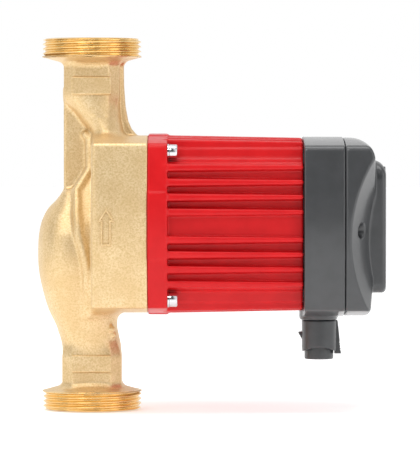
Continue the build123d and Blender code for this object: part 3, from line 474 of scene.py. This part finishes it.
def motor(x, y, z):
    """Die-cast motor housing: flange, and a body with fins on its four sides."""
    up = z - AXIS_Z
    side, high = np.abs(y), np.abs(up)
    t = np.clip((x - FLANGE_FRONT) / (BODY_END - FLANGE_FRONT), 0, 1)
    half = 39.3 - t
    outline = bowed(y, up, half, half, 43.1 - 1.2 * t, 1.4)
    half_fin = 1.75 - 0.65 * t

    def fins(across):
        nearest = np.full(np.broadcast(across, t).shape, 1e9)
        for centre in FINS:
            nearest = np.minimum(nearest, np.abs(np.abs(across) - centre))
        return nearest - half_fin

    core = np.maximum(side, high) - 36.8
    middle = np.maximum(np.maximum(side, high) - 38.6, np.minimum(side, high) - FINS[0])
    core = np.minimum(core, middle)
    ribs = np.minimum(meet(fins(up), outline, 0.8), meet(fins(y), outline, 0.8))
    body = join(core, ribs, 0.9)
    body = np.maximum(body, outline)
    run = math.hypot(NOTCH_RUN, NOTCH_FLARE)
    rise = NOTCH_RUN / run
    lean = NOTCH_FLARE / run
    above, beside = high - NOTCH, side - NOTCH
    notch = meet(-above * rise - beside * lean, -beside * rise - above * lean, 1.5)
    body = meet(body, -notch, 0.5)
    body = meet(body, slab(x, FLANGE_FRONT - 2, BODY_END), 0.7)
    flange = bowed(y, up, 39.6, 39.0, 43.4, 1.6)
    proud = meet(bowed(y, up, 40.1, 39.3, 43.85, 1.6), np.minimum(side, high) - 16, 0.5)
    flange = meet(join(flange, proud, 0.6), slab(x, MOTOR_LOW[0], FLANGE_FRONT), 0.7)
    body = join(body, flange, 0.9)
    shaft_r = np.hypot(y, up)
    hollow = np.maximum(shaft_r - 33.05, slab(x, MOTOR_LOW[0] - 2, 97.0))
    hollow = np.minimum(hollow, np.maximum(shaft_r - 36.05, slab(x, MOTOR_LOW[0] - 2, 30.0)))
    hollow = np.minimum(hollow, np.maximum(np.abs(shaft_r - 38.2) - 1.0, slab(x, MOTOR_LOW[0] - 2, 29.4)))
    hollow = np.minimum(hollow, brick(x, y, up, (95, -8, -30), (104, 8, -22), 0.5))
    return np.maximum(body, -hollow)


# ---------------------------------------------------------------- control box
BOX_SIDE, BOX_TOP, BOX_CROWN = 40.2, 39.1, 43.5
BOX_DROP = 1.2
SEAL_INSET = 1.1
SEAL_BACK = SEAM - 1.6
BOX_BACK = BODY_END + 0.5
PLUG_X = 110.3
SCREW_HOLE = (33.2, -2.5)


def box_outline(y, up, inset=0.0):
    """Rounded square of the box, moved in by an inset."""
    return bowed(y, up + BOX_DROP, BOX_SIDE - inset, BOX_TOP - inset, BOX_CROWN - inset, 2.0 - inset / 2)


def box_seal(x, y, z):
    """Flat rubber seal in the rebate between the two halves of the box."""
    up = z - AXIS_Z
    ring = np.maximum(box_outline(y, up, SEAL_INSET), -box_outline(y, up, 2.4))
    return meet(ring, slab(x, SEAL_BACK, SEAM + 0.1), 0.1)


def base(x, y, z):
    """Back half of the control box, with the lip around the plug's socket."""
    up = z - AXIS_Z
    shell = meet(box_outline(y, up), slab(x, BOX_BACK, SEAM), 0.3)
    lip_y = np.maximum(np.abs(y) - 5.9, 0)
    lip = np.hypot(x - 109.9, lip_y) - 9.2
    lip = meet(lip, slab(z, 43.8, 50.0), 0.8)
    shell = join(shell, lip, 0.8)
    hollow = np.maximum(box_outline(y, up, 2.8), slab(x, BOX_BACK + 2.5, SEAM + 2))
    posts = np.hypot(np.abs(y) - 22.0, np.abs(up) - 31.0) - 2.6
    posts = np.maximum(posts, x - 110.0)
    bosses = np.hypot(np.abs(y) - SCREW_HOLE[0], up - SCREW_HOLE[1]) - 3.8
    bosses = np.maximum(bosses, x - SEAM)
    screws = np.hypot(np.abs(y) - SCREW_HOLE[0], up - SCREW_HOLE[1]) - 1.55
    hollow = np.maximum(hollow, -np.minimum(posts, bosses))
    hollow = np.minimum(hollow, np.maximum(screws, 107.0 - x))
    hollow = np.minimum(hollow, brick(x, y, up, (98, -8, -30), (106, 8, -22), 0.5))
    hollow = np.minimum(hollow, brick(x, y, z, (PLUG_X - 4.8, -9, 40), (PLUG_X + 4.8, 9, 51), 0.5))
    hollow = np.minimum(hollow, np.maximum(box_outline(y, up, SEAL_INSET), SEAL_BACK - x))
    return np.maximum(shell, -hollow)


POD_SIDE, POD_TOP, POD_BOTTOM = 25.5, 31.8, -32.6
COVER_CREST, COVER_BOW_R = 137, 340
SCOOP_R = 83.9
SCOOP_EDGE = 124.3
SCOOP_UP = -8.0
SCOOP_SLOPE = math.tan(math.radians(27))


def cover(x, y, z):
    """Front half of the control box: scooped sides and the raised control pod."""
    up = z - AXIS_Z
    side = np.abs(y)
    shell = box_outline(y, up)
    front = np.hypot(x - (COVER_CREST - COVER_BOW_R), up - 5) - COVER_BOW_R
    top = up + BOX_DROP - BOX_CROWN
    foot = -up - BOX_DROP - BOX_CROWN
    profile = meet(meet(front, top, 10.5), foot, 3.0)
    profile = meet(profile, SEAM + 0.1 - x, 0.25)
    shell = meet(shell, profile, 1.4)
    from_edge = x - (BOX_CROWN - side) * SCOOP_SLOPE
    scoop = (np.hypot(from_edge - SCOOP_EDGE - SCOOP_R, up - SCOOP_UP) - SCOOP_R) * 0.9
    shell = cut(shell, scoop, 0.7)
    section = meet(meet(side - POD_SIDE, up - POD_TOP, 10.0), POD_BOTTOM - up, 4.5)
    face = meet(x - COVER_FRONT, up - POD_TOP - 0.6, 8.5)
    pod = meet(meet(section, face, 2.2), SEAM + 3 - x, 0.5)
    shell = join(shell, pod, 0.8)
    hollow = brick(x, y, up, (SEAM - 1, -29, -38), (SEAM + 7.5, 29, 38), 1.0)
    hollow = np.minimum(hollow, brick(x, y, up, (SEAM, -21.7, -29.5), (133.0, 21.7, 29.5), 0.5))
    hollow = np.minimum(hollow, brick(x, y, up, (SEAM, -19, -26), (140.7, 19, 26), 0.5))
    panel = np.maximum(meet(slab(y, -21.1, 21.1), slab(up, -28.1, 28.1), 3.1), 140.6 - x)
    hollow = np.minimum(hollow, panel)
    screw = np.hypot(side - SCREW_HOLE[0], up - SCREW_HOLE[1])
    shell = cut(shell, np.maximum(screw - 3.5, SEAM + 2.6 - x), 0.3)
    hollow = np.minimum(hollow, screw - 1.7)
    return np.maximum(shell, -hollow)


# ---------------------------------------------------------------- plug
PLUG_TOP, PLUG_BOTTOM = 43.6, 28.0


def plug(x, y, z):
    """Plug body with rounded ends, an arched lower edge and a catch."""
    ends = np.maximum(np.abs(y) - 4.7, 0)
    body = np.hypot(x - PLUG_X, ends) - 8.3
    body = meet(body, slab(z, PLUG_BOTTOM, PLUG_TOP), 0.7)
    arch = np.hypot(x - PLUG_X, z - (PLUG_BOTTOM + 2.5 - 15.0)) - 15.0
    body = cut(body, arch, 0.5)
    catch = meet(polygon(x, z, ((104, 38.0), (100.1, 37.3), (102.2, 33.6), (104, 33.6))), np.abs(y) - 4, 0.3)
    body = join(body, catch, 0.3)
    gland = np.maximum(np.hypot(x - PLUG_X, y) - 7.12, z - 34.0)
    hollow = np.minimum(gland, np.maximum(np.hypot(x - PLUG_X, y) - 3.5, z - 36.5))
    hollow = np.minimum(hollow, brick(x, y, z, (PLUG_X - 2.5, -7.5, 36), (PLUG_X + 2.5, 7.5, 46), 0.3))
    hollow = np.minimum(hollow, brick(x, y, z, (PLUG_X + 7.1, -4.7, 20), (PLUG_X + 12, 4.7, 50), 0.2))
    return np.maximum(body, -hollow)


LATCH = ((117.7, 43.2), (119.3, 43.2), (119.7, 40.0), (121.0, 27.0), (117.7, 27.0))


def latch(x, y, z):
    """Finger latch: a wedge with grip ridges near its lower end."""
    wedge = meet(polygon(x, z, LATCH), np.abs(y) - 4.4, 0.35)
    ridges = np.abs(((z - 28.2) % 1.25) - 0.625) - 0.22
    groove = np.maximum(np.maximum(-(x - 120.3 + (z - 29.5) * 0.1), ridges), slab(z, 28.2, 33.2))
    return cut(wedge + 0.05, groove, 0.1)


GLAND_BOTTOM = 24.3


def gland(x, y, z):
    """Gland nut around the cable's way in."""
    radius = np.hypot(x - PLUG_X, y)
    nut = meet(radius - 7.05, slab(z, GLAND_BOTTOM, 34.0), 0.6)
    hollow = np.minimum(radius - 3.5, np.maximum(radius - 5.6, GLAND_BOTTOM + 1.6 - z))
    return np.maximum(nut, -hollow)


# ---------------------------------------------------------------- swept solids
def ring_x(x, radius, at, count=64):
    """Loop about an axis along X. radius is a number or a function of the angle."""
    turn = np.linspace(0, 2 * math.pi, count, endpoint=False)
    r = radius(turn) if callable(radius) else np.full(count, float(radius))
    across, up = at[0] + r * np.cos(turn), AXIS_Z + at[1] + r * np.sin(turn)
    return np.stack([np.full(count, float(x)), across, up], 1)


def hexagon(flat):
    """Radius of a hexagon with flats that far from its middle."""
    return lambda turn: flat / np.cos((turn % (math.pi / 3)) - math.pi / 6)


def cross_recess(reach, half):
    """Radius of a plus-shaped recess."""
    def radius(turn):
        t = (turn % (math.pi / 2)) - math.pi / 4
        t = math.pi / 4 - np.abs(t)
        arm = half / np.maximum(np.sin(t), 1e-6)
        return np.minimum(reach, np.maximum(arm, half * 1.1))
    return radius


def knurl(radius, depth, count):
    """Radius of a knurled rim."""
    return lambda turn: radius - depth * (0.5 + 0.5 * np.cos(turn * count))


def cap_screw(at, tip, seat, head=4.0, shank_r=2.0, head_r=3.5):
    """Socket head cap screw with a knurled rim."""
    top = seat + head
    rim = knurl(head_r, 0.05, 16)
    return skin([
        ring_x(tip, shank_r - 0.4, at), ring_x(tip + 0.5, shank_r, at), ring_x(seat, shank_r, at),
        ring_x(seat, head_r - 0.25, at), ring_x(seat + 0.25, rim, at), ring_x(top - 0.55, rim, at),
        ring_x(top - 0.2, head_r - 0.22, at), ring_x(top, head_r - 0.6, at), ring_x(top, hexagon(1.62), at),
        ring_x(top - 0.15, hexagon(1.5), at), ring_x(top - 2.1, hexagon(1.5), at), ring_x(top - 2.4, 0.4, at),
    ])


def pan_screw(at, tip, seat, head=2.4, shank_r=1.5, head_r=3.2):
    """Pan head screw with a cross recess."""
    top = seat + head
    cross = cross_recess(2.3, 0.5)
    return skin([
        ring_x(tip, shank_r - 0.4, at), ring_x(tip + 1.0, shank_r, at), ring_x(seat, shank_r, at),
        ring_x(seat, head_r - 0.15, at), ring_x(seat + 0.15, head_r, at), ring_x(top - 1.0, head_r, at),
        ring_x(top - 0.4, head_r - 0.35, at), ring_x(top, head_r - 0.9, at), ring_x(top, cross, at),
        ring_x(top - 1.3, cross_recess(1.3, 0.4), at),
    ])


def washer(at, seat, thick, inner, outer):
    """Flat washer with broken edges."""
    edge = 0.12
    profile = (
        (inner, seat + edge), (inner, seat + thick - edge), (inner + edge, seat + thick),
        (outer - edge, seat + thick), (outer, seat + thick - edge), (outer, seat + edge),
        (outer - edge, seat), (inner + edge, seat),
    )
    return skin([ring_x(x, r, at) for r, x in profile], ring=True)


def button(at, back, front, r):
    """Push button with a skirt, a rounded rim and a slightly dished top."""
    sections = [
        ring_x(135.0, 1.5, at), ring_x(back, 1.5, at),
        ring_x(back, r + 0.9, at), ring_x(back + 0.7, r + 0.9, at),
        ring_x(back + 0.75, r, at), ring_x(front - 0.5, r, at),
    ]
    for turn in np.linspace(15, 90, 6):
        lean = math.radians(turn)
        sections.append(ring_x(front - 0.5 + 0.5 * math.sin(lean), r - 0.5 + 0.5 * math.cos(lean), at))
    for part in (0.7, 0.45, 0.2):
        sections.append(ring_x(front - 0.25 * (1 - part / 0.88), r * part, at))
    return skin(sections)


# ---------------------------------------------------------------- materials
class Shader:
    """Node tree of one material, with short ways to add its nodes."""

    def __init__(self, name, rough, metallic=0.0, coat=0.0, **uniform):
        self.material = bpy.data.materials.new(name)
        self.material.use_nodes = True
        self.tree = self.material.node_tree
        self.shader = self.tree.nodes["Principled BSDF"]
        self.shader.inputs["Roughness"].default_value = rough
        self.shader.inputs["Metallic"].default_value = metallic
        self.shader.inputs["Coat Weight"].default_value = coat
        for key, value in uniform.items():
            self.shader.inputs[key.replace("_", " ")].default_value = value
        self.place = self.add("ShaderNodeTexCoord").outputs["Object"]
        self.normal = None

    def add(self, kind, inputs=(), **settings):
        """A node with its settings and inputs, each a value or another node's output."""
        node = self.tree.nodes.new(kind)
        for key, value in settings.items():
            setattr(node, key, value)
        for key, value in dict(inputs).items():
            if isinstance(value, bpy.types.NodeSocket):
                self.tree.links.new(value, node.inputs[key])
            else:
                node.inputs[key].default_value = value
        return node

    def noise(self, size, detail=3.0, stretch=(1, 1, 1), rough=0.5):
        """Noise whose features are about size millimetres across, from 0 to 1."""
        place = self.place
        if stretch != (1, 1, 1):
            place = self.add("ShaderNodeMapping", {"Vector": self.place, "Scale": stretch}).outputs["Vector"]
        inputs = {"Vector": place, "Scale": 1000 / size, "Detail": detail, "Roughness": rough}
        return self.add("ShaderNodeTexNoise", inputs).outputs["Fac"]

    def spots(self, size):
        """Distance to scattered points about size millimetres apart."""
        node = self.add("ShaderNodeTexVoronoi", {"Vector": self.place, "Scale": 1000 / size})
        return node.outputs["Distance"]

    def ramp(self, value, *stops):
        """Colour or grey level between stops of (place, colour)."""
        node = self.add("ShaderNodeValToRGB", {"Fac": value})
        ramp = node.color_ramp
        while len(ramp.elements) < len(stops):
            ramp.elements.new(0.5)
        for element, (place, colour) in zip(ramp.elements, stops):
            element.position = place
            element.color = (*colour, 1) if isinstance(colour, tuple) else (colour, colour, colour, 1)
        return node.outputs["Color"]

    def mix(self, share, a, b):
        """Mix of two colours."""
        node = self.add("ShaderNodeMix", data_type="RGBA")
        for key, value in ((0, share), (6, a), (7, b)):
            if isinstance(value, bpy.types.NodeSocket):
                self.tree.links.new(value, node.inputs[key])
            elif isinstance(value, tuple):
                node.inputs[key].default_value = (*value, 1)
            else:
                node.inputs[key].default_value = value
        return node.outputs[2]

    def colour(self, value):
        """Sets the base colour."""
        self.tree.links.new(value, self.shader.inputs["Base Color"])

    def roughness(self, value, low, high):
        """Roughness that follows a value from low to high."""
        node = self.add("ShaderNodeMapRange", {"Value": value, "To Min": low, "To Max": high})
        self.tree.links.new(node.outputs["Result"], self.shader.inputs["Roughness"])

    def bump(self, height, depth, strength=1.0):
        """Relief depth millimetres deep, laid over what is there already."""
        inputs = {"Height": height, "Distance": depth * MM, "Strength": strength}
        if self.normal is not None:
            inputs["Normal"] = self.normal
        self.normal = self.add("ShaderNodeBump", inputs).outputs["Normal"]
        self.tree.links.new(self.normal, self.shader.inputs["Normal"])


def cast_bronze():
    """Sand cast bronze: pale, matte and grainy, a little darker in patches, with painted shade that darkens
    its hollows to brown.
    """
    m = Shader("cast_bronze", 0.5, metallic=0.68)
    patches = m.noise(14, 3)
    grain = m.noise(0.8, 4, rough=0.6)
    base = m.ramp(patches, (0.3, (0.76, 0.55, 0.29)), (0.7, (0.87, 0.68, 0.41)))
    skin = m.mix(m.ramp(grain, (0.35, 0.0), (0.6, 1.0)), (0.67, 0.47, 0.22), base)
    # painted shade: ambient occlusion turns creases, pockets and hollows brown, where shade falls
    hollow = m.add("ShaderNodeAmbientOcclusion", {"Distance": 3.5 * MM}, samples=6).outputs["AO"]
    m.colour(m.mix(m.ramp(hollow, (0.15, 0.0), (0.6, 1.0)), (0.46, 0.29, 0.12), skin))
    m.roughness(grain, 0.38, 0.5)
    m.bump(grain, 0.045, 0.7)
    m.bump(m.noise(2.8, 3), 0.14, 0.7)
    return m.material


def machined_bronze():
    """Bronze turned on a lathe: bright, with faint rings from the tool."""
    m = Shader("machined_bronze", 0.2, metallic=1.0)
    rings = m.noise(0.5, 1, stretch=(0.02, 0.02, 1))
    m.colour(m.ramp(m.noise(9, 2), (0.3, (0.82, 0.56, 0.23)), (0.7, (0.90, 0.65, 0.31))))
    m.roughness(rings, 0.18, 0.24)
    return m.material


def red_paint():
    """Satin powder coat with orange peel over the cast aluminium."""
    m = Shader("red_paint", 0.36, coat=0.08, Coat_Roughness=0.12, Specular_IOR_Level=0.22)
    peel = m.noise(1.1, 2)
    m.colour(m.ramp(m.noise(9, 3), (0.3, (0.56, 0.006, 0.009)), (0.7, (0.64, 0.009, 0.012))))
    m.roughness(m.noise(3, 2), 0.3, 0.42)
    m.bump(peel, 0.03, 0.6)
    m.bump(m.noise(0.3, 2), 0.008, 0.5)
    return m.material


def plastic(name, dark, light, rough, grain=0.45, depth=0.02, coat=0.0):
    """Moulded plastic with a fine spark-eroded grain."""
    m = Shader(name, rough, coat=coat, Coat_Roughness=0.15)
    texture = m.noise(grain, 3)
    m.colour(m.ramp(m.noise(7, 3), (0.3, dark), (0.7, light)))
    m.roughness(texture, rough - 0.07, rough + 0.07)
    m.bump(texture, depth, 0.6)
    return m.material


def bright_metal(name, dark, light, rough, stretch=(1, 1, 1)):
    """Plated, ground or drawn metal."""
    m = Shader(name, rough, metallic=1.0)
    lines = m.noise(0.4, 2, stretch=stretch)
    m.colour(m.ramp(m.noise(2.5, 2), (0.3, dark), (0.7, light)))
    m.roughness(lines, rough * 0.75, rough * 1.25)
    m.bump(lines, 0.006, 0.5)
    return m.material


def rubber():
    """Dark moulded rubber."""
    return plastic("black_rubber", (0.012, 0.012, 0.013), (0.022, 0.022, 0.023), 0.7, grain=0.3)


def laminations():
    """Stack of electrical sheet, seen as fine lines across the shaft."""
    m = Shader("laminations", 0.4, metallic=0.9)
    inputs = {"Vector": m.place, "Scale": 640.0, "Distortion": 0.0}
    sheets = m.add("ShaderNodeTexWave", inputs, bands_direction="X")
    m.colour(m.ramp(sheets.outputs["Fac"], (0.2, (0.16, 0.16, 0.17)), (0.6, (0.42, 0.42, 0.44))))
    m.bump(sheets.outputs["Fac"], 0.05)
    return m.material


def enamelled_copper():
    """Wound enamelled copper wire."""
    m = Shader("copper_wire", 0.25, metallic=0.9, coat=0.5)
    inputs = {"Vector": m.place, "Scale": 480.0, "Distortion": 0.6}
    wires = m.add("ShaderNodeTexWave", inputs, bands_direction="Y")
    m.colour(m.ramp(wires.outputs["Fac"], (0.1, (0.22, 0.06, 0.02)), (0.6, (0.72, 0.30, 0.12))))
    m.bump(wires.outputs["Fac"], 0.15)
    return m.material


def circuit_board():
    """Solder mask with faint traces and pads."""
    m = Shader("circuit_board", 0.35, coat=0.3)
    traces = m.add("ShaderNodeTexBrick", {"Vector": m.place, "Scale": 260.0, "Mortar Size": 0.03})
    cells = m.ramp(traces.outputs["Fac"], (0.0, (0.006, 0.09, 0.04)), (1.0, (0.02, 0.22, 0.09)))
    m.colour(m.mix(m.ramp(m.spots(2.6), (0.1, 1.0), (0.14, 0.0)), cells, (0.7, 0.6, 0.35)))
    m.bump(traces.outputs["Fac"], 0.03)
    return m.material


def display():
    """Dark smoked window."""
    m = Shader("display", 0.08, coat=1.0)
    m.colour(m.ramp(m.noise(12, 2), (0.3, (0.006, 0.008, 0.01)), (0.7, (0.012, 0.016, 0.02))))
    m.bump(m.noise(6, 1), 0.01, 0.3)
    return m.material


def light_guide():
    """Milky moulded light guide."""
    m = Shader("light_guide", 0.2, Transmission_Weight=0.4)
    m.colour(m.ramp(m.noise(1, 2), (0.3, (0.55, 0.6, 0.55)), (0.7, (0.75, 0.8, 0.75))))
    m.bump(m.noise(0.5, 2), 0.01, 0.4)
    return m.material


def ceramic():
    """Ground alumina shaft."""
    return plastic("ceramic", (0.72, 0.70, 0.66), (0.84, 0.82, 0.78), 0.22, grain=0.3, depth=0.004)


MATERIALS = {
    "cast_bronze": cast_bronze(),
    "red_paint": red_paint(),
    "grey_plastic": plastic(
        "grey_plastic", (0.036, 0.038, 0.040), (0.046, 0.048, 0.051), 0.38, coat=0.6, depth=0.012),
    "plug_plastic": plastic(
        "plug_plastic", (0.040, 0.043, 0.045), (0.054, 0.057, 0.060), 0.4, coat=0.25, depth=0.012),
    "chromed_steel": bright_metal("chromed_steel", (0.62, 0.63, 0.65), (0.74, 0.75, 0.77), 0.14),
    "steel": bright_metal("steel", (0.42, 0.42, 0.43), (0.55, 0.55, 0.56), 0.3),
    "black_rubber": rubber(),
    "impeller_plastic": plastic("impeller_plastic", (0.42, 0.36, 0.26), (0.52, 0.46, 0.34), 0.4, grain=0.8),
    "carbon": plastic("carbon", (0.020, 0.020, 0.021), (0.034, 0.034, 0.036), 0.32, grain=0.2),
    "ceramic": ceramic(),
    "magnet": plastic(
        "magnet", (0.055, 0.052, 0.050), (0.085, 0.080, 0.076), 0.5, grain=0.25, depth=0.03),
    "lamination": laminations(),
    "insulator": plastic("insulator", (0.62, 0.60, 0.55), (0.72, 0.70, 0.65), 0.45),
    "copper": enamelled_copper(),
    "circuit_board": circuit_board(),
    "component_black": plastic("component_black", (0.014, 0.014, 0.015), (0.024, 0.024, 0.026), 0.35),
    "contact_brass": bright_metal("contact_brass", (0.60, 0.46, 0.20), (0.74, 0.58, 0.28), 0.25),
    "panel_plastic": plastic("panel_plastic", (0.030, 0.032, 0.034), (0.042, 0.044, 0.047), 0.3),
    "display": display(),
    "light_guide": light_guide(),
    "button_plastic": plastic("button_plastic", (0.48, 0.03, 0.03), (0.58, 0.045, 0.045), 0.35),
}
MACHINED = machined_bronze()


# ---------------------------------------------------------------- assembly
def from_field(name, node, field, step, body="pump"):
    """Piece made from a field over a CAD node's box, in place of that node."""
    low, high = span(node)
    points, faces = surface_net(field, low, high, step)
    piece = mesh_piece(name, points, faces, body, MATERIALS[NODE_SLOTS[node]])
    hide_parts(node)


NODE_SLOTS = {part["node"]: part["material_slot"] for part in frame["record"]["subparts"]}
for node, thing in frame["nodes"].items():
    thing.data.materials.clear()
    thing.data.materials.append(MATERIALS[NODE_SLOTS[node]])

from_field("cast_housing", "pump_housing", housing, 0.75)
points, faces = surface_net(arrow, (3.6, -44.4, 80.2), (12.2, -41.5, 98.4), 0.22)
mesh_piece("flow_arrow", points, faces, "pump", MATERIALS["cast_bronze"])
pads = [
    wrench_pad(half, low, high, facing)
    for (half, *_), (low, high) in zip(NECKS, PAD_HEIGHTS) for facing in (-1, 1)
]
several("wrench_pads", pads, "pump", MATERIALS["cast_bronze"], sharp=180)
for name, base_z, inward in (("inlet_union_collar", 0.0, 1), ("outlet_union_collar", TOP, -1)):
    collar_piece(name, base_z, inward, "pump", MACHINED)
from_field("finned_motor_housing", "motor_housing", motor, 0.65)
from_field("control_box_base", "box_base", base, 0.65)
from_field("control_box_cover", "box_cover", cover, 0.6)
from_field("control_box_seal", "box_seal", box_seal, 0.5)
from_field("plug_shell", "plug_body", plug, 0.4, body="plug")
from_field("plug_gland", "gland_nut", gland, 0.35, body="plug")
from_field("latch_finger", "plug_latch", latch, 0.25, body="latch")

corners = [(y, up) for y in (-SCREW_AT, SCREW_AT) for up in (-SCREW_AT, SCREW_AT)]
screws = several(
    "socket_head_screws", [cap_screw(at, 15.0, FLANGE_FRONT + 0.8) for at in corners],
    "pump", MATERIALS["chromed_steel"],
)
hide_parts("housing_screws")
washers = several(
    "plain_washers", [washer(at, FLANGE_FRONT, 0.8, 2.1, 3.7) for at in corners],
    "pump", MATERIALS["chromed_steel"],
)
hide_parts("screw_washers")
holes = [(side * SCREW_HOLE[0], SCREW_HOLE[1]) for side in (-1, 1)]
lid_screws = several(
    "cross_head_screws", [pan_screw(at, 108.0, SEAM + 2.6) for at in holes],
    "pump", MATERIALS["steel"],
)
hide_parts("cover_screws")
for node, at in (("mode_button", (-9.0, -13.0)), ("speed_button", (9.0, -13.0))):
    cap = button(at, 139.8, COVER_FRONT + 0.4, 4.4)
    press = several(f"{node}_cap", [cap], node, MATERIALS["button_plastic"])
    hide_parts(node)


# ---------------------------------------------------------------- studio
def panel_light(name, place, target, width, height, power):
    """Soft box that faces a place, sizes in metres."""
    data = bpy.data.lights.new(name, "AREA")
    data.shape = "RECTANGLE"
    data.size, data.size_y, data.energy = width, height, power
    lamp = bpy.data.objects.new(name, data)
    bpy.context.scene.collection.objects.link(lamp)
    lamp.location = place
    lamp.rotation_euler = (Vector(target) - Vector(place)).to_track_quat("-Z", "Y").to_euler()


def sky():
    """Plain white to look at. Surfaces reflect dim sides, bright soft walls and a dark gap between them."""
    world = bpy.data.worlds.new("studio")
    world.use_nodes = True
    tree = world.node_tree

    def add(kind, **settings):
        node = tree.nodes.new(kind)
        for key, value in settings.items():
            setattr(node, key, value)
        return node

    split = add("ShaderNodeSeparateXYZ")
    level = add("ShaderNodeCombineXYZ")
    compass = add("ShaderNodeVectorMath", operation="NORMALIZE")
    north = add("ShaderNodeSeparateXYZ")
    scale = add("ShaderNodeMapRange")
    scale.inputs["From Min"].default_value = -1.0
    ramp = add("ShaderNodeValToRGB")
    tree.links.new(add("ShaderNodeTexCoord").outputs["Generated"], split.inputs["Vector"])
    tree.links.new(split.outputs["X"], level.inputs["X"])
    tree.links.new(split.outputs["Y"], level.inputs["Y"])
    tree.links.new(level.outputs["Vector"], compass.inputs[0])
    tree.links.new(compass.outputs["Vector"], north.inputs["Vector"])
    tree.links.new(north.outputs["Y"], scale.inputs["Value"])
    tree.links.new(scale.outputs["Result"], ramp.inputs["Fac"])
    # brightness from behind the photo camera, at 0, round to the far side, at 1
    stops = ((0.0, 0.05), (0.028, 0.08), (0.036, 0.95), (0.2, 0.95), (0.3, 0.38), (0.55, 0.38), (0.62, 1.0))
    while len(ramp.color_ramp.elements) < len(stops):
        ramp.color_ramp.elements.new(0.5)
    for element, (place, brightness) in zip(ramp.color_ramp.elements, stops):
        element.position = place
        element.color = (brightness, brightness, brightness, 1)
    backdrop = add("ShaderNodeMix", data_type="RGBA")
    backdrop.inputs[7].default_value = (1, 1, 1, 1)
    tree.links.new(add("ShaderNodeLightPath").outputs["Is Camera Ray"], backdrop.inputs[0])
    tree.links.new(ramp.outputs["Color"], backdrop.inputs[6])
    tree.links.new(backdrop.outputs[2], tree.nodes["Background"].inputs["Color"])
    bpy.context.scene.world = world


def studio():
    """Pale floor, pale sky and soft boxes to the left, right and above."""
    bpy.ops.mesh.primitive_plane_add(size=14, location=(0, 0, -0.0004))
    floor = bpy.context.object
    floor.name = "studio_floor"
    m = Shader("studio_floor", 0.8, Emission_Color=(1, 1, 1, 1), Emission_Strength=0.35)
    m.colour(m.ramp(m.noise(400, 2), (0.0, (0.9, 0.9, 0.9)), (1.0, (0.92, 0.92, 0.92))))
    floor.data.materials.append(m.material)
    sky()
    aim = (0.05, 0, 0.09)
    panel_light("left", (-1.2, -0.7, 0.6), aim, 0.7, 0.9, 0.9)
    panel_light("right", (1.25, -0.65, 0.45), aim, 0.6, 0.9, 2)
    panel_light("top", (0.0, -0.25, 1.25), aim, 1.0, 0.6, 6)
    panel_light("high_front", (-0.25, -1.0, 1.0), aim, 0.8, 0.4, 4)


def photo_camera():
    """Long lens, square to the motor's side and a little above it."""
    target = Vector((57.3, 0, 89.4)) * MM
    eye = Vector((57.3, -1750, 135)) * MM
    data = bpy.data.cameras.new("camera")
    data.lens, data.sensor_width = 288, 36
    data.clip_start, data.clip_end = 0.1, 50
    camera = bpy.data.objects.new("camera", data)
    bpy.context.scene.collection.objects.link(camera)
    camera.location = eye
    camera.rotation_euler = (target - eye).to_track_quat("-Z", "Y").to_euler()
    bpy.context.scene.camera = camera


studio()
photo_camera()
view = bpy.context.scene.view_settings
view.view_transform = "Standard"
